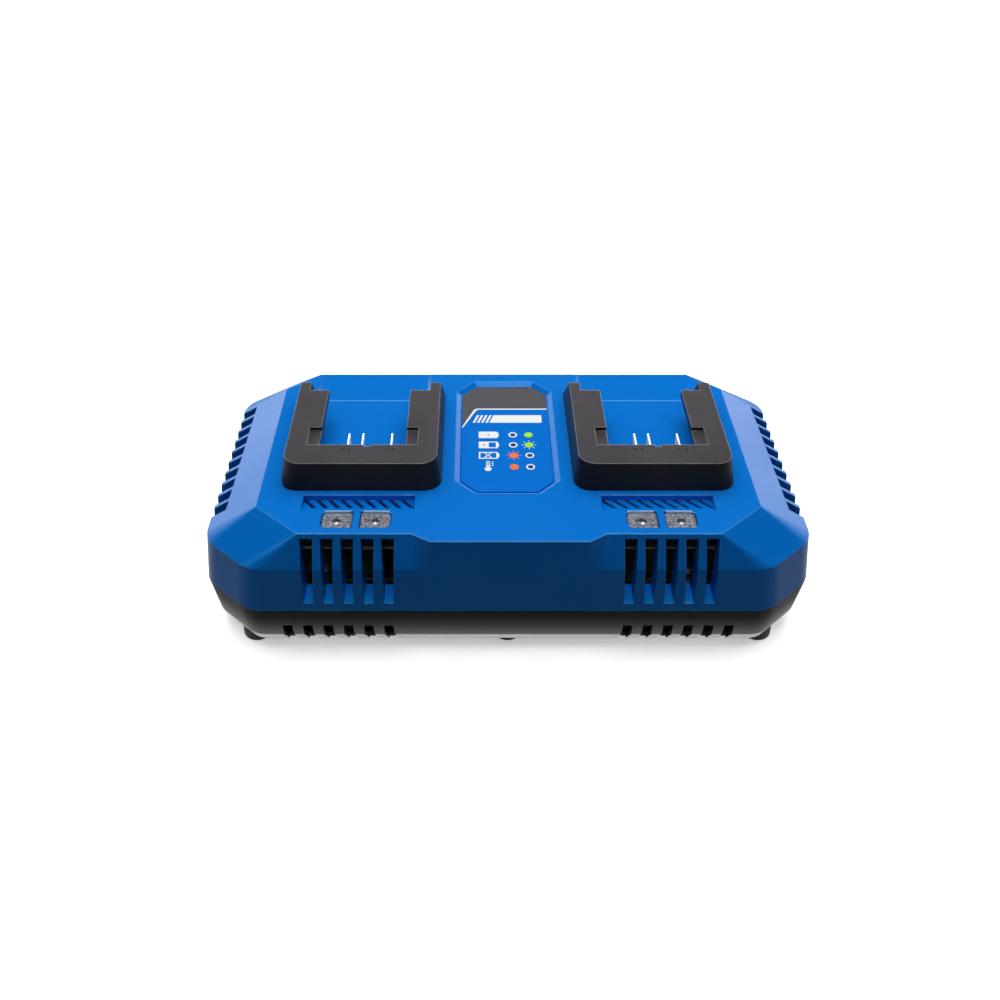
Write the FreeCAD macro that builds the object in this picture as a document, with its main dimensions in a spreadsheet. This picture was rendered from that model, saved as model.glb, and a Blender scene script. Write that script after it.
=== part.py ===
import FreeCAD, Part
import Sketcher
import math
import os
import re

# Two-bay battery charger. Millimetres, +Z up, front towards -Y, +X to the right.
# The origin is the centre of the footprint, at the underside of the rubber feet.
# Cuts run past the faces where they leave a body by 1 mm.

os.makedirs("parts", exist_ok=True)
doc = FreeCAD.newDocument("battery_charger")

# Driving sizes of the two housings
housing_sizes = {
    "deck_height": 75.5,
    "crease_drop": 17.0,
    "seam_height": 32.5,
    "belly_height": 7.2,
    "wall": 3.0,
    "deck_wall": 3.0,
    "floor_wall": 3.0,
    "deck_half_width": 130.0,
    "deck_front_leg": 24.0,
    "deck_rear_leg": 18.5,
    "deck_front": 80.0,
    "deck_rear": 66.0,
    "front_corner_slope": 0.87,
    "rear_corner_slope": 0.88,
    "tongue_half_width": 39.5,
    "tongue_root_half": 49.0,
    "tongue_reach": 6.0,
    "crease_half_width": 157.3,
    "crease_front": 87.5,
    "crease_rear": 87.5,
    "crease_front_leg": 26.4,
    "crease_rear_leg": 34.0,
    "seam_flare": 1.8,
    "belly_inset": 5.0,
    "belly_bevel": 2.3,
    "belly_bevel_rise": 5.0,
    "corner_radius": 18.0,
    "deck_corner_radius": 1.5,
    "lip_height": 2.0,
    "lip_wall": 1.3,
    "fit_gap": 0.2,
}

# Driving sizes of the openings and pockets in the housings
opening_sizes = {
    "front_slot_centre": 81.3,
    "front_slot_pitch": 10.2,
    "front_slot_count": 5,
    "front_slot_top_width": 6.6,
    "front_slot_foot_width": 4.8,
    "front_slot_top_drop": 2.6,
    "front_slot_foot_drop": 38.0,
    "grille_back": 76.5,
    "grille_margin": 4.0,
    "sill_rise": 1.5,
    "side_vent_pitch": 9.81,
    "side_vent_count": 10,
    "side_vent_width": 7.2,
    "side_vent_first": 40.1,
    "side_vent_reach": 8.3,
    "side_vent_above": 5.6,
    "side_vent_below": 12.6,
    "belly_slot_centre": 88.0,
    "belly_slot_pitch": 10.5,
    "belly_slot_count": 6,
    "belly_slot_width": 5.0,
    "belly_slot_top": 20.2,
    "belly_slot_lean": 2.7,
    "belly_slot_bend": 16.0,
    "belly_slot_sill": 11.0,
    "belly_slot_back": 70.0,
    "belly_groove_back": 79.4,
    "label_half_width": 28.3,
    "label_front": 48.3,
    "label_rear": 58.1,
    "label_corner": 11.0,
    "label_bevel": 3.3,
    "label_depth": 2.4,
    "label_thick": 0.6,
    "hatch_width": 58.0,
    "hatch_rear": 49.9,
    "hatch_front": 62.8,
    "hatch_depth": 3.7,
    "hatch_slot_pitch": 6.34,
    "hatch_slot_count": 9,
    "hatch_slot_width": 2.6,
    "hatch_slot_length": 9.0,
    "hatch_slot_slant": 5.4,
    "pocket_floor": 2.4,
}

# Driving sizes of the battery docks, measured from each dock's centre
dock_sizes = {
    "dock_centre": 77.5,
    "dock_width": 80.6,
    "dock_rise": 16.0,
    "dock_draft": 2.2,
    "dock_front": 44.0,
    "dock_bar_back": 27.5,
    "dock_rail_rear": 32.5,
    "dock_rail_foot": 46.0,
    "dock_radius": 9.0,
    "dock_post": 6.0,
    "dock_gap": 46.5,
    "dock_lip_rear": 24.7,
    "dock_lip_step": 11.7,
    "dock_lip_thick": 4.6,
    "dock_step_depth": 2.2,
    "dock_step_width": 6.3,
    "dock_shell": 2.6,
    "dock_leg_radius": 3.0,
    "dock_leg_x": 32.0,
    "dock_leg_y": 38.5,
    "dock_rear_leg_x": 38.0,
    "dock_rear_leg_y": 8.0,
    "bay_side_bevel": 2.3,
    "bay_depth": 2.0,
    "bay_rear_depth": 0.6,
    "bay_fold": 40.5,
    "notch_centre": 2.8,
    "notch_width": 3.2,
    "notch_depth": 1.6,
    "mark_pitch": 3.6,
    "mark_setback": 4.4,
    "mark_radius": 0.7,
    "mark_depth": 0.6,
    "blade_first": -8.1,
    "blade_second": -0.5,
    "blade_third": 15.2,
    "blade_thick": 1.0,
    "blade_height": 8.0,
    "blade_reach": 12.0,
    "blade_sink": 7.0,
    "blade_base": 4.0,
    "block_half_width": 24.0,
    "block_length": 9.4,
    "block_drop": 6.0,
    "block_flange": 2.0,
    "block_ear": 6.5,
}

# Driving sizes of the light windows and their boards
light_sizes = {
    "window_offset": 9.8,
    "window_width": 15.4,
    "window_front": 75.2,
    "window_rear": 63.0,
    "window_corner": 2.2,
    "window_sink": 0.9,
    "window_flange": 1.0,
    "window_gap": 0.3,
    "window_rim": 1.0,
    "window_groove": 2.2,
    "window_groove_count": 4,
    "shroud_height": 8.0,
    "shroud_wall": 1.2,
    "light_board_half": 27.0,
    "light_board_thick": 1.2,
    "light_board_screw_x": 24.0,
    "led_side": 3.5,
    "led_height": 1.6,
}

# Driving sizes of the parts inside, on the main board
inside_sizes = {
    "board_half_width": 108.0,
    "board_front": 52.0,
    "board_rear": 50.0,
    "board_thick": 1.6,
    "board_height": 18.0,
    "board_screw_x": 100.0,
    "board_screw_y": 44.0,
    "standoff_radius": 3.6,
    "core_width": 35.0,
    "core_length": 22.0,
    "core_height": 30.0,
    "core_limb": 7.0,
    "core_centre_x": 52.0,
    "core_centre_y": 0.0,
    "winding_gap": 0.3,
    "winding_length": 31.0,
    "winding_cheek": 1.6,
    "winding_waist": 1.8,
    "can_groove": 1.4,
    "can_groove_height": 5.0,
    "transistor_lift": 4.0,
    "transistor_leg": 1.0,
    "capacitor_radius": 9.0,
    "capacitor_height": 32.0,
    "capacitor_x": 12.5,
    "capacitor_y": 16.0,
    "small_capacitor_radius": 5.0,
    "small_capacitor_height": 20.0,
    "small_capacitor_x": 88.0,
    "small_capacitor_y": 8.0,
    "small_capacitor_pitch": 14.0,
    "sink_width": 46.0,
    "sink_height": 30.0,
    "sink_thick": 3.0,
    "sink_fin_depth": 11.0,
    "sink_fin_thick": 1.4,
    "sink_fin_count": 8,
    "sink_centre_x": 52.0,
    "sink_y": 24.0,
    "transistor_width": 15.0,
    "transistor_height": 20.0,
    "transistor_thick": 4.6,
    "choke_radius": 12.0,
    "choke_bore": 6.0,
    "choke_height": 14.0,
    "choke_wire": 1.6,
    "choke_turns": 16,
    "choke_y": 24.0,
    "fuse_radius": 2.6,
    "fuse_length": 20.0,
    "fuse_lift": 1.0,
    "fuse_clip": 4.0,
    "fuse_x": 32.0,
    "fuse_y": 44.0,
    "plug_block_width": 16.0,
    "plug_block_length": 9.0,
    "plug_block_height": 9.0,
    "wire_radius": 1.2,
    "wire_pitch": 4.2,
    "wire_board_y": 24.0,
}

# Driving sizes of the cooling fan, feet, gland and screws
hardware_sizes = {
    "fan_side": 40.0,
    "fan_depth": 15.0,
    "fan_bore_radius": 18.8,
    "fan_blade_radius": 18.0,
    "fan_hub_radius": 8.5,
    "fan_hub_height": 11.0,
    "fan_seat_radius": 7.5,
    "fan_seat_height": 2.6,
    "fan_arm_width": 3.0,
    "fan_blade_count": 7,
    "fan_blade_thick": 1.2,
    "fan_blade_pitch": 7.0,
    "fan_shaft_radius": 1.5,
    "fan_shaft_gap": 0.05,
    "fan_shaft_length": 2.2,
    "fan_running_gap": 0.4,
    "fan_arm_count": 4,
    "fan_hole_radius": 1.8,
    "fan_hole_offset": 16.0,
    "fan_x": 134.0,
    "fan_guide": 2.4,
    "fan_guide_height": 18.0,
    "foot_radius": 7.3,
    "foot_x": 132.7,
    "foot_y": 69.4,
    "foot_sink": 1.5,
    "foot_peg_radius": 2.5,
    "foot_peg_length": 3.5,
    "foot_bevel": 1.2,
    "gland_radius": 6.5,
    "gland_bore": 3.6,
    "gland_flange_radius": 8.5,
    "gland_flange": 2.0,
    "gland_x": 105.0,
    "gland_height": 20.0,
    "gland_inner": 74.0,
    "gland_outer": 89.0,
    "screw_x": 118.0,
    "screw_y": 57.0,
    "screw_radius": 1.75,
    "screw_head_radius": 3.2,
    "screw_head": 2.4,
    "screw_bite": 9.0,
    "small_screw_radius": 1.25,
    "small_screw_head_radius": 2.4,
    "small_screw_head": 1.6,
    "small_screw_bite": 5.0,
    "pilot_gap": 0.05,
    "bite_gap": 0.5,
    "socket_width_share": 0.9,
    "socket_depth_share": 0.6,
    "boss_radius": 4.6,
    "boss_split": 29.5,
}

sheet = doc.addObject("Spreadsheet::Sheet", "Sizes")
size_names = []
for group in (housing_sizes, opening_sizes, dock_sizes, light_sizes, inside_sizes, hardware_sizes):
    for name, value in group.items():
        size_names.append(name)
        row = len(size_names)
        sheet.set(f"A{row}", name.replace("_", " "))
        sheet.set(f"B{row}", str(value))
        sheet.setAlias(f"B{row}", name)
doc.recompute()


def bind(text):
    """An expression with each size name pointing at its cell."""
    def cell(match):
        word = match.group(0)
        return "Sizes." + word if word in size_names else word
    return re.sub(r"[a-z][a-z_]*", cell, str(text))


def size(text):
    """The number that an expression of sizes gives."""
    return float(sheet.evalExpression(bind(text)))


def origin_plane(body, role):
    for feature in body.Origin.OriginFeatures:
        if feature.Role == role:
            return feature
    raise ValueError(role)


def new_body(name):
    body = doc.addObject("PartDesign::Body", name)
    body.Label = name
    body.AllowCompound = True
    return body


def new_sketch(body, name, role="XY_Plane", offset=None):
    sketch = body.newObject("Sketcher::SketchObject", name)
    sketch.AttachmentSupport = [(origin_plane(body, role), "")]
    sketch.MapMode = "FlatFace"
    if offset is not None:
        sketch.setExpression(".AttachmentOffset.Base.z", bind(offset))
    return sketch


def hold_point(sketch, geometry, end, x, y):
    """Fixes a point of the sketch at two expressions."""
    for kind, text in (("DistanceX", x), ("DistanceY", y)):
        index = sketch.addConstraint(Sketcher.Constraint(kind, -1, 1, geometry, end, size(text)))
        sketch.setExpression(f"Constraints[{index}]", bind(text))


def draw_polygon(sketch, points):
    """A closed outline whose corners are pairs of expressions."""
    corners = [FreeCAD.Vector(size(x), size(y), 0) for x, y in points]
    first = sketch.GeometryCount
    count = len(points)
    for index in range(count):
        sketch.addGeometry(Part.LineSegment(corners[index], corners[(index + 1) % count]), False)
    for index in range(count):
        following = first + (index + 1) % count
        sketch.addConstraint(Sketcher.Constraint("Coincident", first + index, 2, following, 1))
    for index, (x, y) in enumerate(points):
        hold_point(sketch, first + index, 1, x, y)


def draw_rectangle(sketch, x_low, y_low, x_high, y_high):
    draw_polygon(sketch, [(x_low, y_low), (x_high, y_low), (x_high, y_high), (x_low, y_high)])


def draw_circle(sketch, x, y, radius):
    centre = FreeCAD.Vector(size(x), size(y), 0)
    circle = Part.Circle(centre, FreeCAD.Vector(0, 0, 1), size(radius))
    geometry = sketch.addGeometry(circle, False)
    index = sketch.addConstraint(Sketcher.Constraint("Radius", geometry, size(radius)))
    sketch.setExpression(f"Constraints[{index}]", bind(radius))
    hold_point(sketch, geometry, 3, x, y)


def finish_feature(body, feature, adds):
    """Recomputes a feature and makes sure that it added or took away material."""
    feature.Refine = False
    before = body.Shape.Volume if body.Shape and not body.Shape.isNull() else 0.0
    doc.recompute()
    after = body.Shape.Volume
    if adds and after <= before:
        raise ValueError(f"{body.Label}: {feature.Name} added nothing")
    if not adds and after >= before:
        raise ValueError(f"{body.Label}: {feature.Name} cut nothing")
    return feature


def pad(body, sketch, length, backwards=False):
    feature = body.newObject("PartDesign::Pad", sketch.Name + "_pad")
    feature.Profile = sketch
    feature.setExpression("Length", bind(length))
    feature.Reversed = backwards
    return finish_feature(body, feature, True)


def pocket(body, sketch, length, backwards=False):
    """Cuts against the sketch's normal, or along it when backwards."""
    feature = body.newObject("PartDesign::Pocket", sketch.Name + "_cut")
    feature.Profile = sketch
    feature.setExpression("Length", bind(length))
    feature.Reversed = backwards
    return finish_feature(body, feature, False)


def loft(body, sketches, cuts=False):
    kind = "PartDesign::SubtractiveLoft" if cuts else "PartDesign::AdditiveLoft"
    feature = body.newObject(kind, sketches[0].Name + "_loft")
    feature.Profile = sketches[0]
    feature.Sections = sketches[1:]
    feature.Ruled = True
    feature.Closed = False
    return finish_feature(body, feature, not cuts)


def repeat_along(body, feature, role, pitch, count, backwards=False):
    """Repeats a feature at a pitch along one of the body's axes."""
    pattern = body.newObject("PartDesign::LinearPattern", feature.Name + "_row")
    pattern.Originals = [feature]
    pattern.Direction = (origin_plane(body, role), [""])
    pattern.Reversed = backwards
    pattern.setExpression("Length", bind(f"({pitch}) * ({count} - 1)"))
    pattern.setExpression("Occurrences", bind(count))
    pattern.Refine = False
    body.Tip = pattern
    doc.recompute()
    return pattern


def repeat_round(body, feature, role, count):
    pattern = body.newObject("PartDesign::PolarPattern", feature.Name + "_ring")
    pattern.Originals = [feature]
    pattern.Axis = (origin_plane(body, role), [""])
    pattern.Angle = 360
    pattern.setExpression("Occurrences", bind(count))
    pattern.Refine = False
    body.Tip = pattern
    doc.recompute()
    return pattern


def mirror(body, features, role):
    copy = body.newObject("PartDesign::Mirrored", features[0].Name + "_pair")
    copy.Originals = features
    copy.MirrorPlane = (origin_plane(body, role), [""])
    copy.Refine = False
    body.Tip = copy
    doc.recompute()
    return copy


def block(body, name, x_low, x_high, y_low, y_high, z_low, z_high):
    """A rectangular pad between named limits."""
    sketch = new_sketch(body, name, "XY_Plane", z_low)
    draw_rectangle(sketch, x_low, y_low, x_high, y_high)
    return pad(body, sketch, f"({z_high}) - ({z_low})")


def post(body, name, places, radius, z_low, z_high):
    """Round pads that stand at several places."""
    sketch = new_sketch(body, name, "XY_Plane", z_low)
    for x, y in places:
        draw_circle(sketch, x, y, radius)
    return pad(body, sketch, f"({z_high}) - ({z_low})")


def holes(body, name, places, radius, z_low, z_high):
    """Round holes from one height up to another."""
    sketch = new_sketch(body, name, "XY_Plane", z_low)
    for x, y in places:
        draw_circle(sketch, x, y, radius)
    return pocket(body, sketch, f"({z_high}) - ({z_low})", backwards=True)


def place(thing, x="0", y="0", z="0", axis=None, angle=0.0):
    """Sets where a finished sub-part stands in the charger."""
    rotation = FreeCAD.Rotation(axis, angle) if axis else FreeCAD.Rotation()
    thing.Placement = FreeCAD.Placement(FreeCAD.Vector(size(x), size(y), size(z)), rotation)
    for letter, text in zip("xyz", (x, y, z)):
        thing.setExpression(f".Placement.Base.{letter}", bind(text))


# Outlines of the housings: corners as (x, y, corner radius), half of each given and then mirrored

def both_sides(right_half):
    left_half = [(-x, y, radius) for x, y, radius in reversed(right_half)]
    return right_half + left_half


def deck_outline():
    half = size("deck_half_width")
    front = -size("deck_front")
    rear = size("deck_rear")
    front_leg = size("deck_front_leg")
    rear_leg = size("deck_rear_leg")
    round_off = size("deck_corner_radius")
    return both_sides([
        (size("tongue_half_width"), front - size("tongue_reach"), 0.0),
        (size("tongue_root_half"), front, 0.0),
        (half - front_leg, front, round_off),
        (half, front + front_leg * size("front_corner_slope"), round_off),
        (half, rear - rear_leg * size("rear_corner_slope"), round_off),
        (half - rear_leg, rear, round_off),
    ])


def wall_outline(flare=0.0):
    """The side wall's outline, wider than the crease by the flare."""
    half = size("crease_half_width") + flare
    front = -size("crease_front") - flare
    rear = size("crease_rear") + flare
    front_leg = size("crease_front_leg")
    rear_leg = size("crease_rear_leg")
    round_off = size("corner_radius")
    return both_sides([
        (size("tongue_half_width"), front, 0.0),
        (size("tongue_root_half"), front, 0.0),
        (half - front_leg, front, round_off),
        (half, front + front_leg * size("front_corner_slope"), round_off),
        (half, rear - rear_leg * size("rear_corner_slope"), round_off),
        (half - rear_leg, rear, round_off),
    ])


def plain(corners):
    """The same outline without its tongue and its rounded corners."""
    root = size("tongue_root_half")
    return [(x, y, 0.0) for x, y, radius in corners if abs(x) > root + 0.5 * size("wall")]


def inset(corners, distance):
    """The outline with every edge moved inwards; it runs anticlockwise seen from above."""
    moved = []
    count = len(corners)
    for index, (x, y, radius) in enumerate(corners):
        before = corners[index - 1]
        after = corners[(index + 1) % count]
        one = FreeCAD.Vector(x - before[0], y - before[1], 0).normalize()
        two = FreeCAD.Vector(after[0] - x, after[1] - y, 0).normalize()
        normal_one = FreeCAD.Vector(-one.y, one.x, 0)
        normal_two = FreeCAD.Vector(-two.y, two.x, 0)
        shift = (normal_one + normal_two) * (distance / (1 + normal_one.dot(normal_two)))
        smaller = radius - distance if radius > 0 else 0.0
        moved.append((x + shift.x, y + shift.y, max(smaller, min(radius, 0.8))))
    return moved


def outline_edges(corners, height):
    """The outline at a height: an arc or nothing at each corner, then the edge that follows."""
    ends = []
    edges = []
    count = len(corners)
    points = [FreeCAD.Vector(x, y, height) for x, y, radius in corners]
    for index, point in enumerate(points):
        radius = corners[index][2]
        if radius == 0:
            ends.append((point, point, None))
            continue
        back = (points[index - 1] - point).normalize()
        onward = (points[(index + 1) % count] - point).normalize()
        half_angle = back.getAngle(onward) / 2
        reach = radius / math.tan(half_angle)
        middle = point + (back + onward).normalize() * (radius / math.sin(half_angle) - radius)
        arc = Part.Arc(point + back * reach, middle, point + onward * reach)
        ends.append((point + back * reach, point + onward * reach, arc.toShape()))
    for index in range(count):
        edges.append(ends[index][2])
        edges.append(Part.makeLine(ends[index][1], ends[(index + 1) % count][0]))
    return edges


def faceted(name, sections):
    """A solid through outlines at their heights: flat facets, with ruled faces round the corners."""
    rings = [outline_edges(corners, height) for corners, height in sections]
    faces = []
    for ring in (rings[0], rings[-1]):
        faces.append(Part.Face(Part.Wire([edge for edge in ring if edge])))
    for low, high in zip(rings, rings[1:]):
        for below, above in zip(low, high):
            if below is None:
                continue
            corners = [vertex.Point for vertex in below.Vertexes]
            corners += [vertex.Point for vertex in reversed(above.Vertexes)]
            normal = (corners[1] - corners[0]).cross(corners[3] - corners[0]).normalize()
            flat = abs(normal.dot(corners[2] - corners[0])) < 1e-6
            if flat and below.Curve.TypeId == "Part::GeomLine":
                faces.append(Part.Face(Part.makePolygon(corners + corners[:1])))
            else:
                faces.append(Part.makeRuledSurface(below, above))
    shell = Part.makeShell(faces)
    shell.sewShape()
    solid = doc.addObject("Part::Feature", name)
    solid.Shape = Part.makeSolid(shell)
    if solid.Shape.Volume < 0:
        solid.Shape = solid.Shape.reversed()
    return solid


def cut_from(name, base, tool):
    result = doc.addObject("Part::Cut", name)
    result.Base = base
    result.Tool = tool
    return result


crease_text = "(deck_height - crease_drop)"
crease_height = size(crease_text)


def upper_shell():
    """The faceted upper shell: flared wall, creased slopes and flat deck, open below."""
    wall = size("wall")
    seam = wall_outline(size("seam_flare"))
    outer = faceted("upper_outer", [
        (seam, size("seam_height")),
        (wall_outline(), crease_height),
        (deck_outline(), size("deck_height")),
    ])
    inner = faceted("upper_inner", [
        (inset(plain(seam), wall), size("seam_height") - wall),
        (inset(plain(wall_outline()), wall), crease_height - wall / 2),
        (inset(plain(deck_outline()), wall), size("deck_height - deck_wall")),
    ])
    return cut_from("upper_shell", outer, inner)


def belly_inset_at(height):
    """How far the lower wall has drawn in at a height."""
    share = (size("seam_height") - height) / size("seam_height - belly_height")
    return size("belly_inset") * share


def lower_shell():
    """The shallow tray with drawn-in walls, a bevelled belly and a lip inside the upper wall."""
    wall = size("wall")
    seam_z = size("seam_height")
    belly_z = size("belly_height")
    edge_z = belly_z + size("belly_bevel_rise")
    floor_z = belly_z + size("floor_wall")
    seam = wall_outline(size("seam_flare"))
    bare = plain(seam)
    outer = faceted("lower_outer", [
        (inset(seam, belly_inset_at(edge_z) + size("belly_bevel")), belly_z),
        (inset(seam, belly_inset_at(edge_z)), edge_z),
        (seam, seam_z),
    ])
    inner = faceted("lower_inner", [
        (inset(bare, belly_inset_at(floor_z) + wall), floor_z),
        (inset(bare, wall), seam_z),
        (inset(bare, wall), seam_z + wall),
    ])
    tray = cut_from("lower_tray", outer, inner)
    lip_foot = seam_z - 3 * size("lip_height")
    lip_top = seam_z + size("lip_height")
    lean = size("seam_flare / (deck_height - crease_drop - seam_height + wall / 2)")
    lip_face = wall + size("fit_gap") + lean * (wall + size("lip_height"))
    lip_back = lip_face + size("lip_wall")
    lip_outer = faceted("lip_outer", [
        (inset(bare, lip_face), lip_foot),
        (inset(bare, lip_face), lip_top),
    ])
    lip_inner = faceted("lip_inner", [
        (inset(bare, lip_back), lip_foot),
        (inset(bare, lip_back), lip_top),
    ])
    lip = cut_from("lip_ring", lip_outer, lip_inner)
    whole = doc.addObject("Part::Fuse", "lower_shell")
    whole.Base = tray
    whole.Tool = lip
    return whole


screw_places = [
    ("-screw_x", "-screw_y"), ("0", "-screw_y"), ("screw_x", "-screw_y"),
    ("-screw_x", "screw_y"), ("0", "screw_y"), ("screw_x", "screw_y"),
]
foot_places = [
    ("-foot_x", "-foot_y"), ("0", "-foot_y"), ("foot_x", "-foot_y"),
    ("-foot_x", "foot_y"), ("0", "foot_y"), ("foot_x", "foot_y"),
]
board_screw_places = [
    ("-board_screw_x", "-board_screw_y"), ("0", "-board_screw_y"), ("board_screw_x", "-board_screw_y"),
    ("-board_screw_x", "board_screw_y"), ("0", "board_screw_y"), ("board_screw_x", "board_screw_y"),
]
leg_places = [
    ("-dock_leg_x", "-dock_leg_y"), ("dock_leg_x", "-dock_leg_y"),
    ("-dock_rear_leg_x", "dock_rear_leg_y"), ("dock_rear_leg_x", "dock_rear_leg_y"),
]
light_screw_places = [
    ("-light_board_screw_x", "-(window_front + window_rear) / 2"),
    ("light_board_screw_x", "-(window_front + window_rear) / 2"),
]
dock_centres = {"left": "-dock_centre", "right": "dock_centre"}


def shifted(places, x):
    return [(f"({x}) + ({place_x})", place_y) for place_x, place_y in places]


def label_octagon(margin):
    """The centre pocket's corners, each edge moved inwards by the margin."""
    half = f"(label_half_width - {margin})"
    front = f"(label_front - {margin})"
    rear = f"(label_rear - {margin})"
    corner = f"(label_corner - {margin} * (2 - sqrt(2)))"
    return [
        (f"{half} - {corner}", f"-{front}"), (half, f"{corner} - {front}"),
        (half, f"{rear} - {corner}"), (f"{half} - {corner}", rear),
        (f"{corner} - {half}", rear), (f"-{half}", f"{rear} - {corner}"),
        (f"-{half}", f"{corner} - {front}"), (f"{corner} - {half}", f"-{front}"),
    ]


def front_grille(body):
    """Deep louvred slots through the front wall, over a sloping sill, in two groups."""
    half = "((front_slot_count - 1) * front_slot_pitch / 2 + front_slot_top_width / 2 + grille_margin)"
    foot = "(deck_height - front_slot_foot_drop)"
    ribs = new_sketch(body, "grille_ribs", "YZ_Plane", f"front_slot_centre - {half}")
    draw_polygon(ribs, [
        ("-grille_back", "seam_height + lip_height + 1"),
        ("-(crease_front - wall / 2)", "seam_height + lip_height + 1"),
        ("-(crease_front - wall / 2)", crease_text),
        ("-(deck_front - wall / 2)", "deck_height - deck_wall / 2"),
        ("-grille_back", "deck_height - deck_wall / 2"),
    ])
    mirror(body, [pad(body, ribs, f"2 * {half}")], "YZ_Plane")
    slot = new_sketch(body, "grille_slot", "XZ_Plane", "crease_front + 20")
    for sign in (-1, 1):
        first = f"({sign} * front_slot_centre - (front_slot_count - 1) * front_slot_pitch / 2)"
        draw_polygon(slot, [
            (f"{first} - front_slot_foot_width / 2", foot),
            (f"{first} + front_slot_foot_width / 2", foot),
            (f"{first} + front_slot_top_width / 2", "deck_height - front_slot_top_drop"),
            (f"{first} - front_slot_top_width / 2", "deck_height - front_slot_top_drop"),
        ])
    cut = pocket(body, slot, "crease_front + 20 - grille_back + 1")
    repeat_along(body, cut, "X_Axis", "front_slot_pitch", "front_slot_count")
    sill = new_sketch(body, "grille_sill", "YZ_Plane", f"front_slot_centre - {half}")
    draw_polygon(sill, [
        ("-(crease_front + seam_flare / 2)", f"{foot} - 1"),
        ("-grille_back", f"{foot} - 1"),
        ("-grille_back", f"{foot} + sill_rise"),
        ("-(crease_front + seam_flare / 2)", foot),
    ])
    mirror(body, [pad(body, sill, f"2 * {half}")], "YZ_Plane")


bay_half = "(dock_width / 2 - dock_post - 0.5)"
pocket_top = "deck_height - deck_wall / 2"


def pocket_floors(body):
    """Thicker places under the deck, so that its pockets keep a floor."""
    well_half = "(hatch_width / 2 + wall / 2)"
    bays = new_sketch(body, "bay_floors", "XY_Plane", "deck_height - bay_depth - pocket_floor")
    wells = new_sketch(body, "well_floors", "XY_Plane", "deck_height - hatch_depth - pocket_floor")
    for x in dock_centres.values():
        draw_rectangle(bays, f"{x} - {bay_half} - 1", "-dock_bar_back - 1",
                       f"{x} + {bay_half} + 1", "deck_rear - wall")
        draw_rectangle(wells, f"{x} - {well_half}", "-window_rear + 1.5 * window_rim",
                       f"{x} + {well_half}", "-hatch_rear + wall")
    pad(body, bays, "bay_depth + pocket_floor - deck_wall / 2")
    pad(body, wells, "hatch_depth + pocket_floor - deck_wall / 2")
    block(body, "label_floor", "-label_half_width - 1", "label_half_width + 1", "-label_front - 1",
          "label_rear + 1", "deck_height - label_depth - pocket_floor", pocket_top)


def bay_channel(body):
    """The sunk bay floor with bevelled sides, which rises from a fold towards the rear edge."""
    sections = []
    for index, (y, depth) in enumerate((
        ("dock_bar_back", "bay_depth"),
        ("-bay_fold", "bay_depth"),
        ("-deck_rear - 4", "bay_rear_depth - 0.2"),
    )):
        sketch = new_sketch(body, f"channel_{index + 1}", "XZ_Plane", y)
        draw_polygon(sketch, [
            (f"dock_centre - {bay_half}", "deck_height"),
            (f"dock_centre - {bay_half} + bay_side_bevel", f"deck_height - ({depth})"),
            (f"dock_centre + {bay_half} - bay_side_bevel", f"deck_height - ({depth})"),
            (f"dock_centre + {bay_half}", "deck_height"),
            (f"dock_centre + {bay_half}", "deck_height + 1"),
            (f"dock_centre - {bay_half}", "deck_height + 1"),
        ])
        sections.append(sketch)
    mirror(body, [loft(body, sections, cuts=True)], "YZ_Plane")


def hatch_wells(body):
    """Wedge-shaped wells in front of the docks, with slanted slits through their floors."""
    well = new_sketch(body, "hatch_well", "YZ_Plane", "dock_centre - hatch_width / 2")
    draw_polygon(well, [
        ("-hatch_rear", "deck_height + 1"), ("-hatch_rear", "deck_height - hatch_depth"),
        ("-hatch_front", "deck_height"), ("-hatch_front", "deck_height + 1"),
    ])
    mirror(body, [pocket(body, well, "hatch_width", backwards=True)], "YZ_Plane")
    slit = new_sketch(body, "hatch_slit", "XY_Plane", "deck_height + 1")
    for x in dock_centres.values():
        start = f"({x} - (hatch_slot_count - 1) * hatch_slot_pitch / 2)"
        rear = f"{start} - hatch_slot_slant / 2"
        front = f"{start} + hatch_slot_slant / 2"
        draw_polygon(slit, [
            (f"{rear} - hatch_slot_width / 2", "-hatch_rear"),
            (f"{front} - hatch_slot_width / 2", "-hatch_rear - hatch_slot_length"),
            (f"{front} + hatch_slot_width / 2", "-hatch_rear - hatch_slot_length"),
            (f"{rear} + hatch_slot_width / 2", "-hatch_rear"),
        ])
    cut = pocket(body, slit, "deck_wall + hatch_depth + pocket_floor")
    repeat_along(body, cut, "X_Axis", "hatch_slot_pitch", "hatch_slot_count")


def window_outline(sketch, x, corner_side, margin):
    """A window's outline, with two corners cut on the side away from its neighbour."""
    half = f"(window_width / 2 + {margin})"
    front = f"(window_front + {margin})"
    rear = f"(window_rear - {margin})"
    near = f"{x} - {corner_side} * {half}"
    far = f"{x} + {corner_side} * {half}"
    draw_polygon(sketch, [
        (near, f"-{front}"), (f"{far} - {corner_side} * window_corner", f"-{front}"),
        (far, f"-{front} + window_corner"), (far, f"-{rear} - window_corner"),
        (f"{far} - {corner_side} * window_corner", f"-{rear}"), (near, f"-{rear}"),
    ])


window_places = {
    "left_outer": ("(-dock_centre - window_offset)", -1),
    "left_inner": ("(-dock_centre + window_offset)", 1),
    "right_inner": ("(dock_centre - window_offset)", -1),
    "right_outer": ("(dock_centre + window_offset)", 1),
}


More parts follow.
